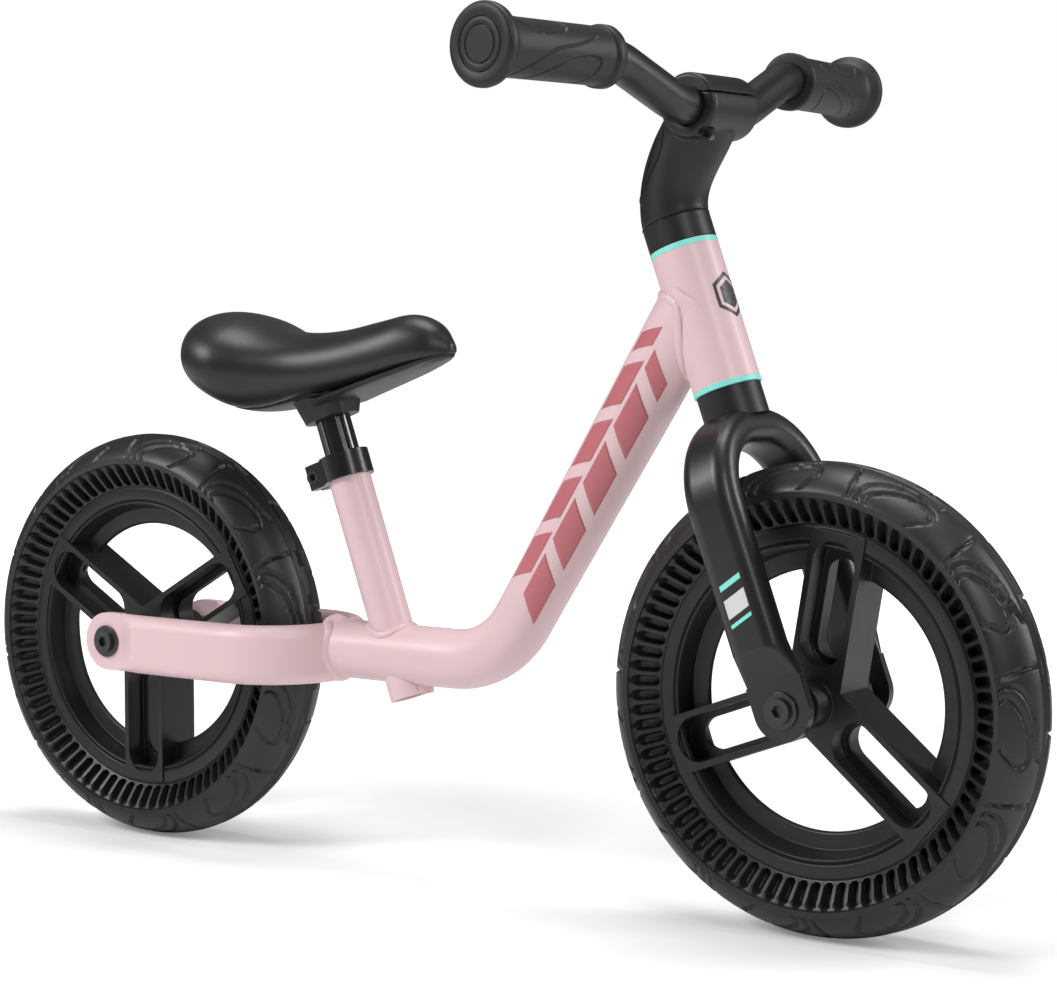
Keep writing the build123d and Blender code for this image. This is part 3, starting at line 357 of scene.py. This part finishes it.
def make_tyre(end, first_motif):
    """Airless tyre: ribbed pockets on the flanks, a raised ring and a flowing tread."""
    turn = [(i + f) / PITCHES for i in range(PITCHES) for f in COLUMNS_IN_PITCH]
    angle = 2 * math.pi * np.array(turn)
    fraction = np.array(COLUMNS_IN_PITCH * PITCHES)
    steps = np.linspace(0, math.pi, 71)
    rows = []
    for side in (-1, 1):
        half = []
        along = (fraction - 0.5) * 2 * math.pi / PITCHES
        for r in FLANK_R:
            y = BEAD_Y + (r - BEAD_R) / (RING_R - BEAD_R) * FLANK_RISE
            over = max(0.0, POCKET_INNER - r, r - POCKET_OUTER)
            gap = np.hypot(along * r, over)
            depth = POCKET_DEEP * smoothstep((POCKET_HALF - gap) / POCKET_WALL)
            rib = 0.35 * np.cos(2 * math.pi * fraction) * smoothstep((3.0 - over) / 3.0)
            half.append((np.full_like(angle, r), side * (y + rib - depth)))
        half.append((np.full_like(angle, 109.1), np.full_like(angle, side * 24.5)))
        half.append((np.full_like(angle, 111.9), np.full_like(angle, side * 25.1)))
        rows.append(half)
    tread = []
    period = 2 * math.pi / MOTIFS
    for t in steps:
        side = -1 if t <= math.pi / 2 else 1
        v = TREAD_V * (1 - abs(t - math.pi / 2) / (math.pi / 2))
        offset = first_motif + (0.0 if side < 0 else period / 2)
        u = np.mod(offset - angle, period) * TREAD_U_R
        depth = tread_depth(u, np.full_like(u, v))
        r = TREAD_FOOT_R + (WHEEL_R - TREAD_FOOT_R) * math.sin(t) ** TREAD_POWER
        y = -TREAD_HALF_W * math.cos(t)
        tread.append((r - depth * math.sin(t), y + depth * math.cos(t) * 0.6))
    inner = [(np.full_like(angle, BEAD_R), np.full_like(angle, y)) for y in (4.0, -4.0)]
    profile = rows[0] + tread + rows[1][::-1] + inner
    points = np.empty((len(profile), len(angle), 3))
    for i, (r, y) in enumerate(profile):
        points[i, :, 0] = AXLE_X[end] + r * np.cos(angle)
        points[i, :, 1] = y
        points[i, :, 2] = WHEEL_R + r * np.sin(angle)
    tyre = grid_object(f"{end}_tyre_cast", points, close_rows=True, sharp=50.0)
    own(tyre, f"{end}_wheel", "tyre_rubber", f"{end}_tyre")


make_tyre("front", math.radians(11.8))
make_tyre("rear", math.radians(26.0))

# ---------------------------------------------------------------- grips
GRIP_LINES = [
    [(0, -65), (0.16, -26), (0.37, 6), (0.59, 19), (0.73, 31), (0.82, 43), (0.8, 53), (0.79, 66)],
    [(0, 70), (0.19, 38), (0.37, 39), (0.51, 50), (0.535, 64), (0.5, 80)],
    [(0.14, -90), (0.3, -47), (0.485, -17), (0.67, -3), (0.8, -2), (0.85, -12), (0.81, -44), (0.71, -76)],
]
GRIP_BODY = (14.0, 86.0)    # where the grooved part starts and stops, from the end face
GRIP_R = 15.0
GRIP_TURN = 9.0             # degrees by which the groove pattern is turned
GRIP_COLUMNS = 200


def make_grip(name, side):
    """Moulded grip: flared end with a plain recessed ring, flowing grooves and an inner collar."""
    r = GRIP_R
    start, stop = GRIP_BODY
    face = [(0.01, 0.0), (4.0, 0.0), (8.6, 0.0)]
    for groove_r in (9.4, 13.4):
        face += [(groove_r - 0.5, 0.0), (groove_r - 0.35, 0.1), (groove_r - 0.25, 0.8), (groove_r, 0.9)]
        face += [(groove_r + 0.25, 0.8), (groove_r + 0.35, 0.1), (groove_r + 0.5, 0.0)]
    face += [(17.8, 0.0), (18.6, 0.05), (19.6, 0.35), (20.4, 0.9), (20.9, 1.8), (21.0, 2.6)]
    flare = [(21.0, 4.6), (20.6, 6.0), (19.6, 7.0), (17.9, 8.2), (16.5, 9.8), (15.6, 11.8)]
    collar = [(15.2, 86.4), (14.7, 87.0), (15.3, 87.5), (16.2, 88.2), (16.3, 89.2)]
    collar += [(16.3, 92.8), (15.9, 93.7), (14.9, 94.0), (10.6, 94.0), (10.6, 90.0)]
    body = [(r + 0.35 * math.exp(-(a - start) / 4.0), a) for a in np.linspace(start - 0.6, stop, 120)]
    profile = face + flare + body + collar
    phi = np.linspace(0, 2 * math.pi, GRIP_COLUMNS, endpoint=False)
    lines = []
    for line in GRIP_LINES:
        pts = [(start + a * (stop - start), math.radians(f - GRIP_TURN) * r) for a, f in line]
        curve = smooth_curve(pts, 6)
        for half_turn in range(-3, 4):
            lines.append(curve + np.array([0.0, half_turn * math.pi * r]))
    out = np.array([-math.sin(BAR_SWEEP), side * math.cos(BAR_SWEEP), 0.0])
    radial = np.array([math.cos(BAR_SWEEP), side * math.sin(BAR_SWEEP), 0.0])
    up = np.array([0.0, 0.0, 1.0])
    origin = np.array([GRIP_END[0], side * GRIP_END[1], GRIP_END[2]])
    points = np.empty((len(profile), GRIP_COLUMNS, 3))
    for i, (radius, inward) in enumerate(profile):
        ring = np.full(GRIP_COLUMNS, radius)
        if start <= inward <= stop:
            gap = distance_to_lines(np.full(GRIP_COLUMNS, inward), phi * r, lines)
            ring = ring - 1.0 * smoothstep((0.85 - gap) / 0.45)
        points[i] = (origin - out * inward)[None, :] + ring[:, None] * (
            np.cos(phi)[:, None] * radial + np.sin(phi)[:, None] * up)
    grip = grid_object(f"{name}_cast", points, caps=True, sharp=50.0)
    own(grip, "steering", "grip_rubber", name)


make_grip("grip_right", -1)
make_grip("grip_left", 1)

# ---------------------------------------------------------------- saddle
# x, half width, top z, z of the widest line, bottom z, as in the CAD.
SADDLE = np.array([
    (-196.0, 5.0, 315.0, 308.0, 301.0),
    (-193.0, 19.0, 321.0, 307.0, 294.0),
    (-185.0, 36.0, 327.5, 306.0, 286.0),
    (-172.0, 48.0, 331.0, 303.0, 277.5),
    (-153.0, 51.0, 328.0, 299.0, 271.0),
    (-131.0, 41.5, 320.5, 296.5, 271.5),
    (-108.0, 33.0, 318.5, 295.0, 277.0),
    (-82.0, 28.0, 320.5, 297.0, 282.5),
    (-55.0, 24.0, 326.0, 302.0, 289.5),
    (-34.0, 20.0, 329.8, 307.0, 296.0),
    (-18.0, 14.5, 325.5, 309.0, 301.0),
    (-8.0, 6.0, 316.0, 309.0, 305.0),
])


EDGE_REAR_X, EDGE_REAR_Z, EDGE_NOSE_Z = -95.0, 277.3, 309.7


def saddle_edge(x):
    """Height of the cover's lower edge along the nose."""
    return EDGE_REAR_Z + (x - EDGE_REAR_X) * (EDGE_NOSE_Z - EDGE_REAR_Z) / -EDGE_REAR_X


def make_saddle():
    """Moulded cover: swollen tail, waisted middle and raised nose, tucked in over the base."""
    rings = []
    curve = smooth_curve(SADDLE, 12)
    curve = np.vstack([[(-197.6, 1.5, 311, 308, 305.5)], [(-197.2, 3.5, 313.5, 308, 302.8)], curve,
                       [(-6.0, 4.3, 314.0, 309.2, 306.4)], [(-5.2, 1.8, 311.5, 309.4, 308.0)]])
    t = np.linspace(0, 2 * math.pi, 112, endpoint=False)
    c, s = np.cos(t), np.sin(t)
    power = 2 / 2.1
    for x, half_w, top, waist, bottom in curve:
        y = half_w * np.sign(c) * np.abs(c) ** power
        z = waist + np.where(s > 0, (top - waist), (waist - bottom)) * np.sign(s) * np.abs(s) ** power
        edge = saddle_edge(x)
        if x > -100.0:
            tuck = smoothstep((edge + 1.2 - z) / 1.6)
            z = np.maximum(z, edge + 0.15)
            y = y * (1 - 0.05 * tuck)
        under = (np.abs(y) < 19.0) & (s < 0) & (x > -166.0) & (x < -88.0)
        z = np.where(under, z + 2.5, z)
        rings.append(np.stack([np.full_like(y, x), y, z], axis=1))
    pad = grid_object("saddle_cover", np.array(rings), caps=True, sharp=55.0)
    smooth = pad.modifiers.new("smooth", "SMOOTH")
    smooth.factor = 0.5
    smooth.iterations = 6
    own(pad, "saddle_assembly", "saddle_skin", "saddle_pad")


def make_base_edge():
    """Rim of the saddle's plastic base, which shows below the cover from the bracket to the nose."""
    stations = smooth_curve(SADDLE, 12)
    rows = []
    for x in np.linspace(-106.0, -10.0, 49):
        top = saddle_edge(max(x, EDGE_REAR_X)) + 0.8
        half_w = np.interp(x, stations[:, 0], stations[:, 1]) * 0.9
        half_w = min(half_w, 9.0 + (x + 106.0) * 1.1)
        deep = 3.0 - 1.0 * smoothstep((x + 40.0) / 30.0)
        outline = [(-1.0, 0.0), (-1.0, -0.6), (-0.96, -0.85), (-0.88, -1.0), (0.0, -1.0), (0.88, -1.0),
                   (0.96, -0.85), (1.0, -0.6), (1.0, 0.0)]
        rows.append([(x, half_w * a, top + deep * b) for a, b in outline])
    edge = grid_object("saddle_base_edge", np.array(rows), caps=True, sharp=50.0)
    own(edge, "saddle_assembly", "black_plastic")


make_saddle()
make_base_edge()


# ---------------------------------------------------------------- weld beads
def bead(name, path, normals, radius, pitch):
    """Weld bead along a closed path: a flattened round whose width swells once in each pitch."""
    path, normals = np.asarray(path), np.asarray(normals)
    step = np.linalg.norm(np.diff(path, axis=0, append=path[:1]), axis=1)
    along = np.concatenate([[0.0], np.cumsum(step)[:-1]])
    tangent = np.roll(path, -1, axis=0) - np.roll(path, 1, axis=0)
    tangent /= np.linalg.norm(tangent, axis=1)[:, None]
    side = np.cross(tangent, normals)
    side /= np.linalg.norm(side, axis=1)[:, None]
    lift = np.cross(side, tangent)
    place = np.mod(along / pitch, 1.0)
    ripple = 1.0 + 0.16 * np.sin(math.pi * place) ** 0.7 - 0.08
    t = np.linspace(0, 2 * math.pi, 14, endpoint=False)
    points = np.empty((len(path), len(t), 3))
    for i in range(len(path)):
        ring = radius * ripple[i]
        points[i] = path[i] + ring * (1.25 * np.cos(t)[:, None] * side[i]
                                      + 0.72 * np.sin(t)[:, None] * lift[i])
    obj = grid_object(name, points, close_rows=True, sharp=70.0)
    own(obj, "frame", "frame_paint")


def neck_weld():
    """Where the flared down tube meets the head tube."""
    path, normals = [], []
    for a in np.linspace(0, 2 * math.pi, 360, endpoint=False):
        r = DOWN_TUBE_TOP_R - 0.6
        start = BEND + DOWN_DIR * 150.0 + r * (math.cos(a) * DOWN_SIDE + math.sin(a) * ACROSS)
        rel = start - FRONT_AXLE
        flat = rel - STEER_UP * rel.dot(STEER_UP)
        way = DOWN_DIR - STEER_UP * DOWN_DIR.dot(STEER_UP)
        qa, qb, qc = way.dot(way), 2 * flat.dot(way), flat.dot(flat) - (HEAD_TUBE_R + 1.1) ** 2
        k = (-qb - math.sqrt(max(qb * qb - 4 * qa * qc, 0.0))) / (2 * qa)
        hit = start + DOWN_DIR * k
        rel = hit - FRONT_AXLE
        out = rel - STEER_UP * rel.dot(STEER_UP)
        out /= np.linalg.norm(out)
        tube_out = math.cos(a) * DOWN_SIDE + math.sin(a) * ACROSS
        blend = out + tube_out
        path.append(hit)
        normals.append(blend / np.linalg.norm(blend))
    bead("weld_head_tube", path, normals, 1.9, 3.0)


def seat_weld():
    """Where the seat tube stands on the low tube."""
    path, normals = [], []
    for a in np.linspace(0, 2 * math.pi, 160, endpoint=False):
        around = math.cos(a) * SEAT_FORWARD + math.sin(a) * ACROSS
        foot = SEAT_FOOT + SEAT_TUBE_R * around
        height = math.sqrt(LOW_TUBE_R ** 2 - foot[1] ** 2) + LOW_TUBE_Z
        hit = foot + SEAT_UP * ((height - foot[2]) / SEAT_UP[2])
        out = np.array([0.0, hit[1], hit[2] - LOW_TUBE_Z]) / LOW_TUBE_R
        blend = out + around
        path.append(hit + 0.9 * around)
        normals.append(blend / np.linalg.norm(blend))
    bead("weld_seat_tube", path, normals, 1.6, 3.0)


YOKE_X, YOKE_R = -141.0, 46.0   # the horseshoe's centre and the radius of its middle line


def yoke_weld():
    """Where the low tube's end meets the front of the horseshoe."""
    path, normals = [], []
    for a in np.linspace(0, 2 * math.pi, 200, endpoint=False):
        y, z = LOW_TUBE_R * math.sin(a), LOW_TUBE_Z + LOW_TUBE_R * math.cos(a)
        drop = min(abs(z - WHEEL_R) - 9.3, 8.4)
        half = 9.0 if drop <= 0 else 0.5 + math.sqrt(8.5 ** 2 - drop ** 2)
        reach = math.sqrt((YOKE_R + half) ** 2 - y * y)
        face = np.array([reach, y, 0.0]) / math.hypot(reach, y)
        around = np.array([0.0, math.sin(a), math.cos(a)])
        blend = face + around
        path.append(np.array([YOKE_X + reach, y, z]))
        normals.append(blend / np.linalg.norm(blend))
    bead("weld_yoke", path, normals, 2.5, 3.3)


neck_weld()
seat_weld()
yoke_weld()


# ---------------------------------------------------------------- decals
FILM_LIFT = 0.07            # how far a decal stands off its surface
FILM_THICKNESS = 0.00006    # metres
FILM_CELLS = 14


def down_tube_point(s, a):
    """Point on the down tube: s up from the bend's corner, a the angle from the side to the upper face."""
    r = LOW_TUBE_R + (DOWN_TUBE_TOP_R - LOW_TUBE_R) * (s - 40.0) / 212.0 + FILM_LIFT
    return BEND + DOWN_DIR * s + r * (math.sin(a) * DOWN_SIDE + math.cos(a) * ACROSS)


def decal(name, point, outlines, color, body):
    """Thin film on a curved surface: each outline is a quadrilateral in surface coordinates."""
    verts, faces = [], []
    n = FILM_CELLS
    for a, b, c, d in outlines:
        base = len(verts)
        for i in range(n + 1):
            for j in range(n + 1):
                u, v = i / n, j / n
                weights = (1 - u) * (1 - v), u * (1 - v), u * v, (1 - u) * v
                verts.append(point(*(sum(w * corner[k] for w, corner in zip(weights, (a, b, c, d)))
                                     for k in (0, 1))))
        for i in range(n):
            for j in range(n):
                k = base + i * (n + 1) + j
                faces.append((k, k + 1, k + n + 2, k + n + 1))
    obj = new_object(name, verts, faces)
    solid = obj.modifiers.new("film", "SOLIDIFY")
    solid.thickness = FILM_THICKNESS
    solid.offset = 0.0
    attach(obj, body)
    obj.data.materials.append(DECALS_AND_PAINTED_SHADOW[color])


def slanted(s0, s1, low, high, slant):
    """Parallelogram whose high end is shifted along s."""
    return ((s0 - slant, low), (s1 - slant, low), (s1 + slant, high), (s0 + slant, high))


for side_name, mirror in (("right", -1), ("left", 1)):
    def on_tube(s, a, mirror=mirror):
        p = down_tube_point(s, a)
        return np.array([p[0], mirror * abs(p[1]), p[2]])
    bars = []
    for s0, s1 in ((46, 74), (84, 112), (122, 150), (160, 188), (198, 210)):
        bars.append(slanted(s0, s1, -0.85, -0.06, 7.0))
        bars.append(slanted(s0 + 14, s1 + 14, 0.06, 0.75, -6.0))
    decal(f"down_tube_graphic_{side_name}", on_tube, bars, "decal_rose", "frame")

    def on_leg(s, w, mirror=mirror):
        edge = max(0.0, abs(w) - 6.4) / 9.1
        bulge = 9.5 - 9.1 * (1 - math.sqrt(max(1 - min(edge, 1.0) ** 2, 0.0)))
        p = FRONT_AXLE + STEER_UP * s + STEER_FORWARD * w
        return np.array([p[0], mirror * (48.0 + bulge + FILM_LIFT), p[2]])
    decal(f"fork_graphic_white_{side_name}", on_leg,
          [((52, -7), (62, -7), (66, 7), (56, 7))], "decal_white", "steering")
    decal(f"fork_graphic_mint_{side_name}", on_leg,
          [((67, -7), (70, -7), (74, 7), (71, 7)), ((47, -7), (49, -7), (53, 7), (51, 7))],
          "decal_mint", "steering")


def on_head(s, a):
    """Point on the head tube: s up the steering axis, a the angle from straight ahead towards +Y."""
    r = HEAD_TUBE_R + FILM_LIFT
    return FRONT_AXLE + STEER_UP * s + r * (math.cos(a) * STEER_FORWARD + math.sin(a) * ACROSS)


def hexagon(a, k):
    """Corner of the badge's hexagon at angle a and scale k."""
    return 222.0 + k * 13.0 * math.sin(a), k * 0.66 * math.cos(a)


badge = []
corners = [math.radians(k * 60 + 30) for k in range(6)]
for a0, a1 in zip(corners, corners[1:] + corners[:1]):
    for outer, inner in ((1.0, 0.82), (0.62, 0.02)):
        badge.append((hexagon(a0, outer), hexagon(a1, outer), hexagon(a1, inner), hexagon(a0, inner)))
decal("head_tube_badge", on_head, badge, "decal_charcoal", "frame")


# ---------------------------------------------------------------- rim lips, beads and painted groove shadow
# Outlines as radius and distance from the wheel's middle plane.
RIM_LIP = [(86.0, 12.4), (86.0, 13.4), (86.3, 13.8), (86.8, 13.95), (92.9, 13.95), (93.5, 13.8),
           (93.8, 13.4), (93.8, 12.4)]
RIM_BEAD = [(83.2, 11.0), (83.2, 13.2), (83.5, 13.7), (84.0, 13.9), (84.5, 13.7), (84.8, 13.2), (84.8, 11.0)]
# Near-black strip on the floor of the gap between lip and bead: painted shadow that darkens the shallow
# groove.
RIM_GROOVE_SHADOW = [(84.7, 13.25), (84.9, 13.32), (85.9, 13.32), (86.1, 13.25), (86.1, 13.0), (84.7, 13.0)]


def lathe(name, end, side, outline, look=None):
    """Ring turned about an axle, on one side of the rim."""
    turn = np.linspace(0, 2 * math.pi, 192, endpoint=False)
    points = np.empty((len(outline), len(turn), 3))
    for i, (r, y) in enumerate(outline):
        points[i] = np.stack([AXLE_X[end] + r * np.cos(turn), np.full_like(turn, side * y),
                              WHEEL_R + r * np.sin(turn)], axis=1)
    own(grid_object(name, points, close_rows=True, sharp=60.0), f"{end}_wheel", "rim_nylon", look=look)


for end in AXLE_X:
    for side_name, side in (("left", 1), ("right", -1)):
        lathe(f"{end}_rim_lip_{side_name}", end, side, RIM_LIP)
        lathe(f"{end}_rim_bead_{side_name}", end, side, RIM_BEAD)
        # near-black painted shadow in the groove between lip and bead
        lathe(f"{end}_rim_groove_shadow_{side_name}", end, side, RIM_GROOVE_SHADOW, DECALS_AND_PAINTED_SHADOW["seam_shadow"])


# ---------------------------------------------------------------- stem seams drawn as painted shadow lines
def seam(name, nodes, rays, radius):
    """Thin near-black strip of painted shadow, half sunk in the surface, laid where rays meet the CAD pieces.
    """
    verts, polygons = [], []
    for node in nodes:
        base = len(verts)
        mesh = NODES[node].data
        verts += [v.co.copy() for v in mesh.vertices]
        polygons += [[base + k for k in p.vertices] for p in mesh.polygons]
    tree = BVHTree.FromPolygons(verts, polygons)
    path = []
    for start, way in rays:
        hit = tree.ray_cast(Vector(start * MM), Vector(way))[0]
        if hit is not None:
            path.append(np.array(hit) / MM)
    path = np.array(path)
    tangent = np.gradient(path, axis=0)
    tangent /= np.linalg.norm(tangent, axis=1)[:, None]
    side = np.cross(tangent, np.array([0.31, 0.13, 0.94]))
    side /= np.linalg.norm(side, axis=1)[:, None]
    lift = np.cross(side, tangent)
    t = np.linspace(0, 2 * math.pi, 8, endpoint=False)
    points = path[:, None, :] + radius * (np.cos(t)[None, :, None] * side[:, None, :]
                                          + np.sin(t)[None, :, None] * lift[:, None, :])
    obj = grid_object(name, points, caps=True, sharp=80.0)
    # near-black painted shadow in place of the shade in the seam's gap; the slot stays black_plastic
    own(obj, "steering", "black_plastic", look=DECALS_AND_PAINTED_SHADOW["seam_shadow"])


COLLAR_TOP = 270.6          # height of the seam above the upper collar, along the steering axis
RAY_FROM_AXIS, RAY_FROM_SIDE = 60.0, 70.0


def collar_ray(a):
    """Ray from outside the steering axis straight in to the seam above the upper collar."""
    out = math.cos(a) * STEER_FORWARD + math.sin(a) * ACROSS
    return FRONT_AXLE + STEER_UP * COLLAR_TOP + RAY_FROM_AXIS * out, tuple(-out)


# Runs ahead of the boundary between stem_body and stem_rear_cover, by up to 8.
COVER_SEAM = [(123.0, 386.5), (133.0, 396.0), (142.0, 408.0), (147.5, 419.0), (148.5, 428.5)]
# Painted shadow lines along the cover's seam on each side, and round the top of the upper collar.
for side_name, side in (("left", 1.0), ("right", -1.0)):
    seam(f"stem_cover_seam_shadow_{side_name}", ("stem_body", "stem_rear_cover"),
         [(np.array([x, side * RAY_FROM_SIDE, z]), (0.0, -side, 0.0))
          for x, z in smooth_curve(COVER_SEAM, 10)], 0.42)
seam("stem_collar_seam_shadow", ("stem_body", "upper_collar"),
     [collar_ray(a) for a in np.linspace(0, 2 * math.pi, 97)], 0.3)


# ---------------------------------------------------------------- blended castings
def cast(name, node, body, slot, voxel, rounds):
    """Stand-in for a CAD node whose joins and edges are blended into one casting."""
    piece = bpy.data.objects.new(name, NODES[node].data.copy())
    bpy.context.scene.collection.objects.link(piece)
    piece.data.materials.clear()
    remesh = piece.modifiers.new("remesh", "REMESH")
    remesh.mode = "VOXEL"
    remesh.voxel_size = voxel * MM
    remesh.use_smooth_shade = True
    smooth = piece.modifiers.new("smooth", "SMOOTH")
    smooth.factor = 0.5
    smooth.iterations = rounds
    graph = bpy.context.evaluated_depsgraph_get()
    mesh = bpy.data.meshes.new_from_object(piece.evaluated_get(graph))
    piece.modifiers.clear()
    piece.data = mesh
    mesh.materials.clear()
    mesh.shade_smooth()
    own(piece, body, slot, node)


cast("stem_cast", "stem_body", "steering", "black_plastic", 0.8, 14)


# ---------------------------------------------------------------- rounded edges on the CAD pieces
for end in AXLE_X:
    soften(f"{end}_rim", 0.7)
    for side_name in ("left", "right"):
        soften(f"{end}_axle_bolt_{side_name}", 0.35)
for name, width in (("stem_cap", 0.7), ("stem_rear_cover", 0.6), ("upper_collar", 0.5), ("lower_collar", 0.5),
                    ("seat_clamp", 0.8), ("seat_clamp_bolt", 0.3), ("saddle_bracket", 1.4),
                    ("saddle_base", 0.8), ("seat_post", 0.5), ("seat_tube", 0.5),
                    ("headset_seal_lower", 0.3), ("headset_seal_upper", 0.3), ("rear_yoke", 1.2),
                    ("fork", 1.2)):
    soften(name, width)


# ---------------------------------------------------------------- stage, camera and light
CAMERA_EYE = (0.9117, -1.2218, 0.3395)
CAMERA_BACK = (0.5757, -0.8140, 0.0765)
CAMERA_LENS, SENSOR_WIDTH = 89.78, 36.0     # millimetres
DOME_LIGHT, BACKDROP_LIGHT = 0.09, 1.0
FLOOR_HALF = 9
GLOW_FROM, GLOW_TO = 0.45, 1.6              # distance from the origin over which the glow rises
GLOW_NEAR, GLOW_FAR = 0.2, 1.0
SOFTBOXES = {                               # place, target, width and height, power
    "key": ((-1.1, -1.5, 1.5), (0, 0, 0.2), (0.9, 0.9), 32),
    "front": ((1.5, -0.9, 1.3), (0.2, 0, 0.15), (0.3, 1.0), 10),
    "top": ((0.0, 0.2, 2.2), (0, 0, 0.2), (1.3, 0.9), 25),
    "rim": ((1.7, 1.2, 1.1), (0.1, 0, 0.2), (0.35, 1.4), 20),
}


def place_camera(eye, back, lens):
    """The camera at eye, whose viewing direction is the reverse of back."""
    data = bpy.data.cameras.new("camera")
    data.lens = lens
    data.sensor_width = SENSOR_WIDTH
    data.clip_start = 0.05
    data.clip_end = 50.0
    camera = bpy.data.objects.new("camera", data)
    camera.location = eye
    camera.rotation_euler = Vector(back).to_track_quat("Z", "Y").to_euler()
    bpy.context.scene.collection.objects.link(camera)
    bpy.context.scene.camera = camera


def area_light(name, place, target, size, power):
    """Softbox that faces its target."""
    data = bpy.data.lights.new(name, "AREA")
    data.shape = "RECTANGLE"
    data.size, data.size_y = size
    data.energy = power
    lamp = bpy.data.objects.new(name, data)
    lamp.location = place
    lamp.rotation_euler = (Vector(place) - Vector(target)).to_track_quat("Z", "Y").to_euler()
    bpy.context.scene.collection.objects.link(lamp)


def studio_world():
    """White backdrop for the camera, and a much dimmer dome for the light that it sends to the object."""
    world = bpy.data.worlds.new("studio")
    world.use_nodes = True
    tree = world.node_tree
    background = tree.nodes["Background"]
    background.inputs["Color"].default_value = (1, 1, 1, 1)
    path = tree.nodes.new("ShaderNodeLightPath")
    strength = tree.nodes.new("ShaderNodeMapRange")
    strength.inputs["To Min"].default_value = DOME_LIGHT
    strength.inputs["To Max"].default_value = BACKDROP_LIGHT
    tree.links.new(path.outputs["Is Camera Ray"], strength.inputs["Value"])
    tree.links.new(strength.outputs["Result"], background.inputs["Strength"])
    bpy.context.scene.world = world


def make_floor():
    """White floor that the camera sees glow: faintly near the bike, fully further out to the horizon."""
    mesh = bpy.data.meshes.new("floor")
    mesh.from_pydata([(x * FLOOR_HALF, y * FLOOR_HALF, 0) for x, y in ((-1, -1), (1, -1), (1, 1), (-1, 1))],
                     [], [(0, 1, 2, 3)])
    floor = bpy.data.objects.new("floor", mesh)
    s = Shader("floor_white", 0.7, Specular_IOR_Level=0.1)
    s.color(s.noise(3.0, 2.0), (0.9, 0.9, 0.9), (0.93, 0.93, 0.93))
    length = s.tree.nodes.new("ShaderNodeVectorMath")
    length.operation = "LENGTH"
    s.link(s.coords, length.inputs[0])
    glow = s.tree.nodes.new("ShaderNodeMapRange")
    glow.interpolation_type = "SMOOTHSTEP"
    glow.inputs["From Min"].default_value = GLOW_FROM
    glow.inputs["From Max"].default_value = GLOW_TO
    glow.inputs["To Min"].default_value = GLOW_NEAR
    glow.inputs["To Max"].default_value = GLOW_FAR
    s.link(length.outputs["Value"], glow.inputs["Value"])
    path = s.tree.nodes.new("ShaderNodeLightPath")
    seen = s.tree.nodes.new("ShaderNodeMath")
    seen.operation = "MULTIPLY"
    s.link(glow.outputs["Result"], seen.inputs[0])
    s.link(path.outputs["Is Camera Ray"], seen.inputs[1])
    s.bsdf.inputs["Emission Color"].default_value = (1, 1, 1, 1)
    s.link(seen.outputs["Value"], s.bsdf.inputs["Emission Strength"])
    mesh.materials.append(s.material)
    bpy.context.scene.collection.objects.link(floor)


place_camera(CAMERA_EYE, CAMERA_BACK, CAMERA_LENS)
bpy.context.scene.view_settings.view_transform = "Standard"
studio_world()
make_floor()
for name, (place, target, size, power) in SOFTBOXES.items():
    area_light(name, place, target, size, power)
